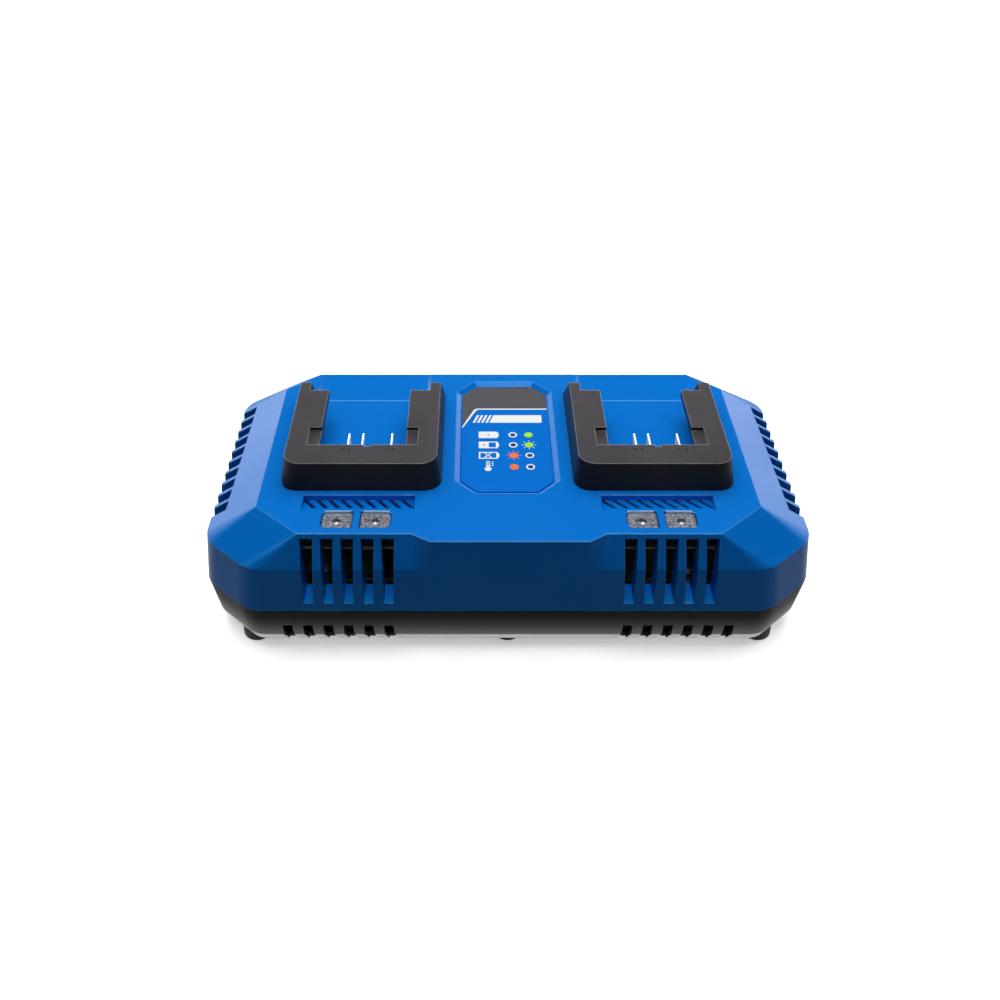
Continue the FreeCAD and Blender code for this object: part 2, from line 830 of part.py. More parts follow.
def deck_openings(body):
    """Holes through the deck for the docks' legs, the terminal blocks and the light windows."""
    sketch = new_sketch(body, "deck_openings", "XY_Plane", "deck_height + 1")
    for x in dock_centres.values():
        for leg_x, leg_y in shifted(leg_places, x):
            draw_circle(sketch, leg_x, leg_y, "dock_leg_radius + fit_gap")
        draw_rectangle(sketch, f"{x} - block_half_width - fit_gap",
                       "-dock_bar_back - dock_shell - block_length - 2 * fit_gap",
                       f"{x} + block_half_width + fit_gap", "-dock_bar_back - dock_shell")
    for x, corner_side in window_places.values():
        window_outline(sketch, x, corner_side, "window_gap")
    pocket(body, sketch, "deck_wall + hatch_depth + 2")


def side_vents(body):
    """A row of slots over the crease on each side."""
    sketch = new_sketch(body, "side_vent", "XY_Plane", f"{crease_text} + side_vent_above")
    for sign in (-1, 1):
        draw_rectangle(sketch, f"{sign} * (crease_half_width - side_vent_reach)", "-side_vent_first - side_vent_width",
                       f"{sign} * (crease_half_width + seam_flare + 5)", "-side_vent_first")
    cut = pocket(body, sketch, "side_vent_above + side_vent_below")
    repeat_along(body, cut, "Y_Axis", "side_vent_pitch", "side_vent_count")


def upper_housing():
    body = new_body("upper_housing")
    body.BaseFeature = upper_shell()
    doc.recompute()
    post(body, "screw_bosses", screw_places, "boss_radius", "boss_split", pocket_top)
    light_places = []
    for x in dock_centres.values():
        light_places += shifted(light_screw_places, x)
    light_foot = "deck_height - deck_wall - window_flange - shroud_height"
    post(body, "light_posts", light_places, "small_screw_head_radius", light_foot, pocket_top)
    pocket_floors(body)
    holes(body, "screw_pilots", screw_places, "screw_radius + pilot_gap", "boss_split - 1",
          "boss_split + screw_bite + 1")
    holes(body, "light_pilots", light_places, "small_screw_radius + pilot_gap", f"{light_foot} - 1",
          f"{light_foot} + small_screw_bite + 1")
    rim = new_sketch(body, "label_rim", "XY_Plane", "deck_height")
    draw_polygon(rim, label_octagon("0"))
    base = new_sketch(body, "label_base", "XY_Plane", "deck_height - label_depth")
    draw_polygon(base, label_octagon("label_bevel"))
    loft(body, [rim, base], cuts=True)
    bay_channel(body)
    front_grille(body)
    deck_openings(body)
    hatch_wells(body)
    side_vents(body)
    return body


def tray_slots(body):
    """Two rows of slots in the front wall; below the floor each goes on as a leaning groove."""
    slot = new_sketch(body, "belly_slot", "XZ_Plane", "crease_front + 20")
    groove = new_sketch(body, "belly_groove", "XZ_Plane", "crease_front + 20")
    for sign in (-1, 1):
        first = f"({sign} * belly_slot_centre - (belly_slot_count - 1) * belly_slot_pitch / 2)"
        left = f"{first} - belly_slot_width / 2"
        right = f"{first} + belly_slot_width / 2"
        lean = f"{-sign} * belly_slot_lean"
        draw_rectangle(slot, left, "belly_slot_sill", right, "belly_slot_top")
        draw_polygon(groove, [
            (left, "belly_slot_bend"), (f"{left} + {lean} / 4", "belly_slot_sill"),
            (f"{left} + {lean}", "belly_height - 1"), (f"{right} + {lean}", "belly_height - 1"),
            (f"{right} + {lean} / 4", "belly_slot_sill"), (right, "belly_slot_bend"),
        ])
    for sketch, back in ((slot, "belly_slot_back"), (groove, "belly_groove_back")):
        cut = pocket(body, sketch, f"crease_front + 20 - {back}")
        repeat_along(body, cut, "X_Axis", "belly_slot_pitch", "belly_slot_count")


def lower_housing():
    body = new_body("lower_housing")
    body.BaseFeature = lower_shell()
    doc.recompute()
    floor = "belly_height + floor_wall"
    inner_floor = "belly_height + floor_wall / 2"
    post(body, "tray_bosses", screw_places, "boss_radius", inner_floor, "boss_split")
    post(body, "standoffs", board_screw_places, "standoff_radius", inner_floor, "board_height")
    holes(body, "screw_passages", screw_places, "screw_radius + fit_gap", "belly_height - 1",
          "boss_split + 1")
    holes(body, "screw_wells", screw_places, "screw_head_radius + fit_gap", "belly_height - 1",
          f"{floor} + screw_head")
    holes(body, "standoff_pilots", board_screw_places, "small_screw_radius + pilot_gap",
          "board_height - small_screw_bite", "board_height + 1")
    holes(body, "foot_sockets", foot_places, "foot_radius + fit_gap", "belly_height - 1",
          "belly_height + foot_sink")
    holes(body, "foot_peg_holes", foot_places, "foot_peg_radius + fit_gap", "belly_height",
          f"{floor} + 1")
    tray_slots(body)
    gland = new_sketch(body, "gland_boss", "XZ_Plane", "-gland_inner")
    draw_circle(gland, "gland_x", "gland_height", "gland_flange_radius")
    pad(body, gland, "gland_outer - gland_inner - gland_flange", backwards=True)
    bore = new_sketch(body, "gland_seat", "XZ_Plane", "-gland_outer")
    draw_circle(bore, "gland_x", "gland_height", "gland_radius + fit_gap")
    pocket(body, bore, "gland_outer - gland_inner + 1", backwards=True)
    face = new_sketch(body, "gland_face", "XZ_Plane", "-gland_outer - 5")
    draw_circle(face, "gland_x", "gland_height", "gland_flange_radius + 1")
    pocket(body, face, "gland_flange + 5", backwards=True)
    guides = new_sketch(body, "fan_guides", "XY_Plane", inner_floor)
    for x_low in ("fan_x - fan_depth / 2 - fit_gap - fan_guide", "fan_x + fan_depth / 2 + fit_gap"):
        for y_low in ("-fan_side / 2", "fan_side / 2 - 2 * fan_guide"):
            draw_rectangle(guides, x_low, y_low, f"{x_low} + fan_guide", f"{y_low} + 2 * fan_guide")
    pad(body, guides, "floor_wall / 2 + fan_guide_height")
    return body


def dock_frame(side):
    """The U-shaped battery dock: drafted walls, overhanging rails, a front bar and four legs."""
    body = new_body(f"dock_frame_{side}")
    half = "(dock_width / 2)"
    foot = new_sketch(body, "dock_foot", "XY_Plane", "0")
    draw_rectangle(foot, f"-{half} - dock_draft", "-dock_front - dock_draft",
                   f"{half} + dock_draft", "dock_rail_foot")
    drafted = pad(body, foot, "dock_rise")
    drafted.setExpression("TaperAngle", bind("-atan(dock_draft / dock_rise)"))
    doc.recompute()
    slope = new_sketch(body, "rail_slope", "YZ_Plane", f"-{half} - dock_draft - 1")
    draw_polygon(slope, [
        ("dock_rail_foot - 1", "-1"), ("dock_rail_foot + 1", "-1"),
        ("dock_rail_foot + 1", "dock_rise + 1"), ("dock_rail_rear", "dock_rise + 1"),
        ("dock_rail_rear", "dock_rise"), ("dock_rail_foot - 1", "0"),
    ])
    pocket(body, slope, "dock_width + 2 * dock_draft + 2", backwards=True)
    corners = []
    for index, edge in enumerate(body.Shape.Edges, 1):
        low, high = sorted((vertex.Point for vertex in edge.Vertexes), key=lambda point: point.z)
        if high.z - low.z > size("dock_rise") / 2 and high.y < 0:
            corners.append(f"Edge{index}")
    blank = body.Tip
    round_off = body.newObject("PartDesign::Fillet", "front_corners")
    round_off.Base = (blank, corners)
    round_off.setExpression("Radius", bind("dock_radius"))
    finish_feature(body, round_off, False)
    post(body, "legs", leg_places, "dock_leg_radius", "fit_gap - deck_wall", "dock_shell")
    gap = new_sketch(body, "rail_gap", "XY_Plane", "dock_rise + 1")
    draw_polygon(gap, [
        ("-dock_gap / 2", "dock_rail_foot + 1"),
        ("-dock_gap / 2", "-dock_bar_back"),
        ("notch_centre - notch_width / 2", "-dock_bar_back"),
        ("notch_centre - notch_width / 2", "-dock_bar_back - notch_depth"),
        ("notch_centre + notch_width / 2", "-dock_bar_back - notch_depth"),
        ("notch_centre + notch_width / 2", "-dock_bar_back"),
        ("dock_gap / 2", "-dock_bar_back"),
        ("dock_gap / 2", "dock_rail_foot + 1"),
    ])
    pocket(body, gap, "dock_rise + 2")
    under = new_sketch(body, "under_rails", "XY_Plane", "0")
    draw_rectangle(under, f"dock_post - {half}", "-dock_bar_back", f"{half} - dock_post",
                   "dock_rail_foot + 1")
    pocket(body, under, "dock_rise - dock_lip_thick", backwards=True)
    ends = new_sketch(body, "rail_ends", "XY_Plane", "dock_rise + 1")
    draw_rectangle(ends, f"dock_post - {half}", "dock_lip_rear", f"{half} - dock_post",
                   "dock_rail_foot + 1")
    pocket(body, ends, "dock_rise + 2")
    steps = new_sketch(body, "rail_steps", "XY_Plane", "dock_rise + 1")
    for sign in (-1, 1):
        draw_rectangle(steps, f"{sign} * (dock_gap / 2 - 1)", "-dock_bar_back",
                       f"{sign} * (dock_gap / 2 + dock_step_width)", "-dock_lip_step")
    pocket(body, steps, "dock_step_depth + 1")
    hollow = new_sketch(body, "bar_hollow", "XY_Plane", "0")
    draw_rectangle(hollow, "-block_half_width - fit_gap",
                   "-dock_bar_back - dock_shell - block_length - 2 * fit_gap",
                   "block_half_width + fit_gap", "-dock_bar_back - dock_shell")
    pocket(body, hollow, "dock_rise - dock_shell", backwards=True)
    slots = new_sketch(body, "blade_slots", "XZ_Plane", "dock_bar_back + dock_shell + 1")
    for offset in blade_offsets:
        draw_rectangle(slots, f"{offset} - blade_thick / 2 - fit_gap", "blade_base - fit_gap",
                       f"{offset} + blade_thick / 2 + fit_gap", "blade_base + blade_height + fit_gap")
    pocket(body, slots, "dock_shell + 2")
    holes(body, "leg_pilots", leg_places, "small_screw_radius + pilot_gap", "-deck_wall",
          "small_screw_bite - deck_wall + bite_gap")
    marks = new_sketch(body, "bar_marks", "XY_Plane", "dock_rise")
    for offset in ("blade_first", "blade_third"):
        for sign in (-1, 1):
            draw_circle(marks, f"{offset} + {sign} * mark_pitch / 2", "-dock_bar_back - mark_setback",
                        "mark_radius")
    pocket(body, marks, "mark_depth")
    place(body, dock_centres[side], "0", "deck_height")
    return body


blade_offsets = ("blade_first", "blade_second", "blade_third")
block_rear = "(-dock_bar_back - dock_shell - fit_gap)"


def terminal_block(side):
    """The insulating block under the dock's front bar, clamped by its flange beneath the deck."""
    body = new_body(f"terminal_block_{side}")
    core = new_sketch(body, "block_core", "XY_Plane", "-deck_wall - block_flange")
    draw_rectangle(core, "-block_half_width", f"{block_rear} - block_length", "block_half_width",
                   block_rear)
    pad(body, core, "deck_wall + block_flange + dock_rise - dock_shell - fit_gap")
    flange = new_sketch(body, "block_flange", "XY_Plane", "-deck_wall - block_flange")
    draw_rectangle(flange, "-dock_leg_x - block_ear", "-dock_leg_y - block_ear / 2 - 1",
                   "dock_leg_x + block_ear", block_rear)
    pad(body, flange, "block_flange")
    sockets = new_sketch(body, "wire_sockets", "XY_Plane", "-deck_wall - block_flange - block_drop")
    draw_rectangle(sockets, "-1.5 * wire_pitch - 1", "-dock_leg_y + 1", "1.5 * wire_pitch + 1",
                   block_rear)
    pad(body, sockets, "block_drop")
    slots = new_sketch(body, "blade_slots", "XZ_Plane", f"blade_sink - {block_rear}")
    for offset in blade_offsets:
        draw_rectangle(slots, f"{offset} - blade_thick / 2", "blade_base",
                       f"{offset} + blade_thick / 2", "blade_base + blade_height")
    pocket(body, slots, "blade_sink + 1")
    holes(body, "flange_holes", leg_places[:2], "small_screw_radius + fit_gap",
          "-deck_wall - block_flange - 1", "1 - deck_wall")
    place(body, dock_centres[side], "0", "deck_height")
    return body


def contact_blades(side):
    """Upright metal blades that leave the terminal block towards the battery."""
    body = new_body(f"contact_blades_{side}")
    plan = new_sketch(body, "blade_plan", "XY_Plane", "blade_base")
    tip = "(blade_reach - dock_bar_back)"
    for offset in blade_offsets:
        draw_polygon(plan, [
            (f"{offset} - blade_thick / 2", f"{block_rear} - blade_sink"),
            (f"{offset} + blade_thick / 2", f"{block_rear} - blade_sink"),
            (f"{offset} + blade_thick / 2", f"{tip} - blade_thick"),
            (f"{offset} + blade_thick / 4", tip),
            (f"{offset} - blade_thick / 4", tip),
            (f"{offset} - blade_thick / 2", f"{tip} - blade_thick"),
        ])
    pad(body, plan, "blade_height")
    place(body, dock_centres[side], "0", "deck_height")
    return body


window_foot = "(deck_height - deck_wall - window_flange)"
window_middle = "(-(window_front + window_rear) / 2)"


def light_window(name):
    """A clear window sunk a little in the deck, with a flange behind it and a ribbed underside."""
    x, corner_side = window_places[name]
    body = new_body(f"light_window_{name}")
    pane = new_sketch(body, "pane", "XY_Plane", window_foot)
    window_outline(pane, "0", corner_side, "0")
    pad(body, pane, "window_flange + deck_wall - window_sink")
    flange = new_sketch(body, "flange", "XY_Plane", window_foot)
    draw_rectangle(flange, "-window_width / 2 - window_rim", "-window_front - window_rim",
                   "window_width / 2 + window_rim", "-window_rear + window_rim")
    pad(body, flange, "window_flange")
    groove = new_sketch(body, "light_groove", "YZ_Plane", "-window_width / 2 + window_rim")
    low = "-window_front + window_rim"
    draw_polygon(groove, [
        (low, f"{window_foot} - 1"), (f"{low} + window_groove", f"{window_foot} - 1"),
        (f"{low} + window_groove / 2", f"{window_foot} + window_groove / 2"),
    ])
    cut = pocket(body, groove, "window_width - 2 * window_rim", backwards=True)
    repeat_along(body, cut, "Y_Axis", "window_groove", "window_groove_count")
    place(body, x, "0", "0")
    return body


def light_shroud(side):
    """A two-cell light box between the light board and the windows."""
    body = new_body(f"light_shroud_{side}")
    half = "(window_offset + window_width / 2 + window_rim)"
    walls = new_sketch(body, "shroud_walls", "XY_Plane", f"{window_foot} - shroud_height")
    draw_rectangle(walls, f"-{half}", "-window_front - window_rim", half, "-window_rear + window_rim")
    for sign in (-1, 1):
        draw_rectangle(walls, f"{sign} * shroud_wall / 2", "-window_front",
                       f"{sign} * ({half} - shroud_wall)", "-window_rear")
    pad(body, walls, "shroud_height")
    place(body, dock_centres[side], "0", "0")
    return body


def light_board(side):
    """The small circuit board under a pair of windows, screwed to two posts of the deck."""
    body = new_body(f"light_board_{side}")
    plan = new_sketch(body, "board_plan", "XY_Plane",
                      f"{window_foot} - shroud_height - light_board_thick")
    draw_rectangle(plan, "-light_board_half", "-window_front - window_rim", "light_board_half",
                   "-window_rear + 2 * window_rim")
    for x, y in light_screw_places:
        draw_circle(plan, x, y, "small_screw_radius + fit_gap")
    pad(body, plan, "light_board_thick")
    place(body, dock_centres[side], "0", "0")
    return body


def status_leds(side):
    """Two light-emitting diodes on the light board, one under each window."""
    body = new_body(f"status_leds_{side}")
    plan = new_sketch(body, "led_plan", "XY_Plane", f"{window_foot} - shroud_height")
    for sign in (-1, 1):
        x = f"{sign} * window_offset"
        draw_rectangle(plan, f"{x} - led_side / 2", f"{window_middle} - led_side / 2",
                       f"{x} + led_side / 2", f"{window_middle} + led_side / 2")
    pad(body, plan, "led_height")
    place(body, dock_centres[side], "0", "0")
    return body


def label_overlay():
    """The thin printed panel that lies in the centre pocket."""
    body = new_body("label_overlay")
    plan = new_sketch(body, "label_plan", "XY_Plane", "deck_height - label_depth")
    draw_polygon(plan, label_octagon("(label_bevel + fit_gap)"))
    pad(body, plan, "label_thick")
    return body


board_top = "(board_height + board_thick)"


def main_board():
    """The main circuit board with its screw holes."""
    body = new_body("main_board")
    plan = new_sketch(body, "board_plan", "XY_Plane", "board_height")
    draw_rectangle(plan, "-board_half_width", "-board_front", "board_half_width", "board_rear")
    for x, y in board_screw_places:
        draw_circle(plan, x, y, "small_screw_radius + fit_gap")
    pad(body, plan, "board_thick")
    return body


def transformer_core(side, x):
    """A ferrite core: two outer limbs and a centre limb between two yokes."""
    body = new_body(f"transformer_core_{side}")
    frame = new_sketch(body, "core_face", "XZ_Plane", "-core_length / 2")
    draw_rectangle(frame, "-core_width / 2", "0", "core_width / 2", "core_height")
    for sign in (-1, 1):
        draw_rectangle(frame, f"{sign} * core_limb / 2", "core_limb / 2",
                       f"{sign} * (core_width - core_limb) / 2", "core_height - core_limb / 2")
    pad(body, frame, "core_length")
    place(body, x, "core_centre_y", board_top)
    return body


def transformer_winding(side, x):
    """The wound and taped coil round the core's centre limb, with bobbin cheeks at both ends."""
    body = new_body(f"transformer_winding_{side}")
    outer_x = "((core_width - core_limb) / 2 - winding_gap)"
    outer_y = "(winding_length / 2)"
    hole_x = "(core_limb / 2 + winding_gap)"
    hole_y = "(core_length / 2 + winding_gap)"
    foot = "core_limb / 2 + winding_gap"
    height = "core_height - core_limb - 2 * winding_gap"
    spool = new_sketch(body, "coil_plan", "XY_Plane", foot)
    draw_rectangle(spool, f"-{outer_x}", f"-{outer_y}", outer_x, outer_y)
    draw_rectangle(spool, f"-{hole_x}", f"-{hole_y}", hole_x, hole_y)
    pad(body, spool, height)
    waist = new_sketch(body, "coil_waist", "XY_Plane", f"{foot} + winding_cheek")
    draw_rectangle(waist, f"-{outer_x} - 1", f"-{outer_y} - 1", f"{outer_x} + 1", f"{outer_y} + 1")
    draw_rectangle(waist, f"winding_waist - {outer_x}", f"winding_waist - {outer_y}",
                   f"{outer_x} - winding_waist", f"{outer_y} - winding_waist")
    pocket(body, waist, f"{height} - 2 * winding_cheek", backwards=True)
    place(body, x, "core_centre_y", board_top)
    return body


def cans(name, places, radius, height):
    """Electrolytic capacitors: cans with a rolled groove near the board."""
    body = new_body(name)
    low = "(can_groove_height - can_groove / 2)"
    high = "(can_groove_height + can_groove / 2)"
    post(body, "can_feet", places, radius, "0", low)
    post(body, "can_necks", places, f"{radius} - can_groove / 2", low, high)
    post(body, "can_walls", places, radius, high, height)
    place(body, "0", "0", board_top)
    return body


def heat_sink(side, x):
    """An extruded comb of fins on a flat back, standing on the board."""
    body = new_body(f"heat_sink_{side}")
    back = new_sketch(body, "sink_back", "XY_Plane", "0")
    draw_rectangle(back, "-sink_width / 2", "0", "sink_width / 2", "sink_thick")
    pad(body, back, "sink_height")
    fin = new_sketch(body, "sink_fin", "XY_Plane", "0")
    draw_rectangle(fin, "-sink_width / 2", "sink_thick / 2", "sink_fin_thick - sink_width / 2",
                   "sink_thick + sink_fin_depth")
    added = pad(body, fin, "sink_height")
    repeat_along(body, added, "X_Axis", "(sink_width - sink_fin_thick) / (sink_fin_count - 1)",
                 "sink_fin_count")
    place(body, x, "sink_y", board_top)
    return body


def power_transistors():
    """Flat power transistors, their backs against the heat sinks, on short legs."""
    body = new_body("power_transistors")
    packs = new_sketch(body, "packages", "XY_Plane", f"{board_top} + transistor_lift")
    legs = new_sketch(body, "package_legs", "XY_Plane", board_top)
    leg_y = "(sink_y - transistor_thick / 2)"
    for middle in ("-sink_centre_x", "sink_centre_x"):
        for sign in (-1, 1):
            x = f"({middle} + {sign} * sink_width / 4)"
            draw_rectangle(packs, f"{x} - transistor_width / 2", "sink_y - transistor_thick",
                           f"{x} + transistor_width / 2", "sink_y")
            draw_rectangle(legs, f"{x} - transistor_width / 3", f"{leg_y} - transistor_leg / 2",
                           f"{x} + transistor_width / 3", f"{leg_y} + transistor_leg / 2")
    pad(body, packs, "transistor_height")
    pad(body, legs, "transistor_lift")
    return body


def mains_choke():
    """A ring choke lying on the board: a core inside spaced turns of thick wire."""
    body = new_body("mains_choke")
    core = new_sketch(body, "choke_core", "XY_Plane", "choke_wire")
    draw_circle(core, "0", "0", "choke_radius - choke_wire")
    draw_circle(core, "0", "0", "choke_bore + choke_wire")
    pad(body, core, "choke_height - 2 * choke_wire")
    turn = new_sketch(body, "choke_turn", "XZ_Plane", "-choke_wire / 2")
    draw_rectangle(turn, "choke_bore", "0", "choke_radius", "choke_height")
    added = pad(body, turn, "choke_wire")
    repeat_round(body, added, "Z_Axis", "choke_turns")
    place(body, "0", "-choke_y", board_top)
    return body


def fuse():
    """A glass fuse lying in two clips on the board."""
    body = new_body("fuse")
    tube = new_sketch(body, "fuse_tube", "YZ_Plane", "-fuse_length / 2")
    draw_circle(tube, "0", "fuse_radius + fuse_lift", "fuse_radius")
    pad(body, tube, "fuse_length")
    clips = new_sketch(body, "fuse_clips", "XY_Plane", "0")
    for sign in (-1, 1):
        draw_rectangle(clips, f"{sign} * fuse_length / 2", "-fuse_radius - fuse_clip / 8",
                       f"{sign} * (fuse_length / 2 - fuse_clip)", "fuse_radius + fuse_clip / 8")
    pad(body, clips, "fuse_radius + fuse_lift")
    place(body, "-fuse_x", "-fuse_y", board_top)
    return body


connector_places = [
    ("-dock_centre", "-wire_board_y"), ("dock_centre", "-wire_board_y"),
    ("board_half_width - plug_block_width", "board_rear - 2 * plug_block_length"),
]


def board_connectors():
    """The board's plug-in connectors: one under each dock and one for the mains leads."""
    body = new_body("board_connectors")
    plan = new_sketch(body, "connector_plan", "XY_Plane", "0")
    for x, y in connector_places:
        draw_rectangle(plan, f"{x} - plug_block_width / 2", f"{y} - plug_block_length / 2",
                       f"{x} + plug_block_width / 2", f"{y} + plug_block_length / 2")
    pad(body, plan, "plug_block_height")
    place(body, "0", "0", board_top)
    return body


def output_harness(side):
    """Three insulated leads from the main board up to the terminal block, in a gentle bend."""
    up = FreeCAD.Vector(0, 0, 1)
    start = FreeCAD.Vector(0, size("-wire_board_y"), size(f"{board_top} + plug_block_height"))
    finish = FreeCAD.Vector(0, size(f"({block_rear} - dock_leg_y + 1) / 2"),
                            size("deck_height - deck_wall - block_flange - block_drop"))
    climb = up * ((finish.z - start.z) / 3)
    low = start + climb
    high = finish - climb
    along = (high - low).normalize()
    turn = up.getAngle(along)
    bend_radius = 0.45 * min(climb.Length, (high - low).Length) / math.tan(turn / 2)
    reach = bend_radius * math.tan(turn / 2)

    def bend(point, arriving, leaving):
        inward = (leaving - arriving).normalize()
        middle = point + inward * (bend_radius / math.cos(turn / 2) - bend_radius)
        return point - arriving * reach, middle, point + leaving * reach

    first = bend(low, up, along)
    second = bend(high, along, up)
    path = Part.Wire([
        Part.makeLine(start, first[0]),
        Part.Arc(*first).toShape(),
        Part.makeLine(first[2], second[0]),
        Part.Arc(*second).toShape(),
        Part.makeLine(second[2], finish),
    ])
    section = Part.Wire([Part.makeCircle(size("wire_radius"), start, up)])
    lead = path.makePipeShell([section], True, False)
    share = lead.Volume / (math.pi * size("wire_radius") ** 2 * path.Length)
    print("lead bend radius", round(bend_radius, 1), "volume over section times length", round(share, 4))
    leads = []
    for step in (-1, 0, 1):
        copy = lead.copy()
        copy.translate(FreeCAD.Vector(step * size("wire_pitch"), 0, 0))
        leads.append(copy)
    harness = doc.addObject("Part::Feature", f"output_harness_{side}")
    harness.Label = f"output_harness_{side}"
    harness.Shape = Part.makeCompound(leads)
    place(harness, dock_centres[side], "0", "0")
    return harness


def fan_place(body):
    """Turns the fan's axis along X and stands it on the tray's floor."""
    place(body, "fan_x", "0", "belly_height + floor_wall + fan_side / 2",
          FreeCAD.Vector(0, 1, 0), 90)


def fan_frame():
    """The square fan housing: a round duct, corner holes and a spider that carries the hub seat."""
    body = new_body("fan_frame")
    frame = new_sketch(body, "frame_face", "XY_Plane", "-fan_depth / 2")
    draw_rectangle(frame, "-fan_side / 2", "-fan_side / 2", "fan_side / 2", "fan_side / 2")
    draw_circle(frame, "0", "0", "fan_bore_radius")
    for sign_x in (-1, 1):
        for sign_y in (-1, 1):
            draw_circle(frame, f"{sign_x} * fan_hole_offset", f"{sign_y} * fan_hole_offset",
                        "fan_hole_radius")
    pad(body, frame, "fan_depth")
    arms = new_sketch(body, "spider_arm", "XY_Plane", "-fan_depth / 2")
    draw_rectangle(arms, "fan_seat_radius - 1", "-fan_arm_width / 2", "fan_bore_radius + 0.5",
                   "fan_arm_width / 2")
    repeat_round(body, pad(body, arms, "fan_seat_height"), "Z_Axis", "fan_arm_count")
    post(body, "hub_seat", [("0", "0")], "fan_seat_radius", "-fan_depth / 2",
         "fan_seat_height - fan_depth / 2")
    holes(body, "shaft_bearing", [("0", "0")], "fan_shaft_radius + fan_shaft_gap",
          "-fan_depth / 2 - 1", "fan_seat_height - fan_depth / 2 + 1")
    fan_place(body)
    return body


def fan_rotor():
    """The fan's hub with pitched blades and the shaft that runs in the frame."""
    body = new_body("fan_rotor")
    hub_low = "(fan_seat_height + fan_running_gap - fan_depth / 2)"
    post(body, "hub", [("0", "0")], "fan_hub_radius", hub_low, f"{hub_low} + fan_hub_height")
    post(body, "shaft", [("0", "0")], "fan_shaft_radius",
         f"{hub_low} - fan_running_gap - fan_shaft_length", f"{hub_low} + 1")
    blade = new_sketch(body, "blade_root", "YZ_Plane", "fan_hub_radius - 2")
    middle = f"({hub_low} + fan_hub_height / 2)"
    lean = "(fan_blade_pitch / 2)"
    rise = "(fan_hub_height / 2 - 1)"
    half = "(fan_blade_thick / 2)"
    draw_polygon(blade, [
        (f"-{lean} - {half}", f"{middle} - {rise}"), (f"-{lean} + {half}", f"{middle} - {rise}"),
        (f"{lean} + {half}", f"{middle} + {rise}"), (f"{lean} - {half}", f"{middle} + {rise}"),
    ])
    added = pad(body, blade, "fan_blade_radius - fan_hub_radius + 2")
    repeat_round(body, added, "Z_Axis", "fan_blade_count")
    fan_place(body)
    return body


def rubber_feet():
    """Rubber feet in the belly's sockets, with bevelled treads and pegs through the floor."""
    body = new_body("rubber_feet")
    post(body, "treads", foot_places, "foot_radius - foot_bevel", "0", "foot_bevel")
    post(body, "pads", foot_places, "foot_radius", "foot_bevel", "belly_height + foot_sink")
    post(body, "pegs", foot_places, "foot_peg_radius", "belly_height + foot_sink",
         "belly_height + floor_wall + foot_peg_length")
    return body


def cord_gland():
    """The rubber bush in the rear wall, with the bore that a mains cord would pass."""
    body = new_body("cord_gland")
    barrel = new_sketch(body, "gland_barrel", "XZ_Plane", "0")
    draw_circle(barrel, "0", "0", "gland_radius")
    pad(body, barrel, "gland_outer - gland_inner - gland_flange", backwards=True)
    collar = new_sketch(body, "gland_collar", "XZ_Plane", "gland_flange - gland_outer + gland_inner")
    draw_circle(collar, "0", "0", "gland_flange_radius")
    pad(body, collar, "gland_flange", backwards=True)
    bore = new_sketch(body, "gland_hole", "XZ_Plane", "1")
    draw_circle(bore, "0", "0", "gland_bore")
    pocket(body, bore, "gland_outer - gland_inner + 2")
    place(body, "gland_x", "gland_inner", "gland_height")
    return body


def screws(name, places, tip, seat, shank, head, head_height):
    """Upright screws driven from below: a head under the seat, a shank and a hexagon socket."""
    body = new_body(name)
    post(body, "shanks", places, shank, seat, tip)
    post(body, "heads", places, head, f"({seat}) - ({head_height})", seat)
    sockets = new_sketch(body, "sockets", "XY_Plane", f"({seat}) - ({head_height})")
    for x, y in places:
        corners = []
        for step in range(6):
            turn = math.radians(60 * step)
            corners.append((f"{x} + {shank} * socket_width_share * {math.cos(turn):.4f}",
                            f"{y} + {shank} * socket_width_share * {math.sin(turn):.4f}"))
        draw_polygon(sockets, corners)
    pocket(body, sockets, f"{head_height} * socket_depth_share", backwards=True)
    return body


def board_screws():
    """Screws driven from above through the main board into the standoffs."""
    body = new_body("board_screws")
    post(body, "shanks", board_screw_places, "small_screw_radius", f"{board_top} - small_screw_bite",
         board_top)
    post(body, "heads", board_screw_places, "small_screw_head_radius", board_top,
         f"{board_top} + small_screw_head")
    return body


def small_screws(name, places, tip, seat):
    return screws(name, places, tip, seat, "small_screw_radius", "small_screw_head_radius",
                  "small_screw_head")


light_screws = []
front_legs = []
rear_legs = []
for x in dock_centres.values():
    light_screws += shifted(light_screw_places, x)
    front_legs += shifted(leg_places[:2], x)
    rear_legs += shifted(leg_places[2:], x)
light_seat = f"({window_foot} - shroud_height - light_board_thick)"
flange_seat = "(deck_height - deck_wall - block_flange)"
deck_seat = "(deck_height - deck_wall)"
bulk_places = [("-capacitor_x", "capacitor_y"), ("capacitor_x", "capacitor_y")]
output_places = []
for sign in ("-", ""):
    output_places.append((f"{sign}small_capacitor_x", "small_capacitor_y"))
    output_places.append((f"{sign}small_capacitor_x", "small_capacitor_y - small_capacitor_pitch"))

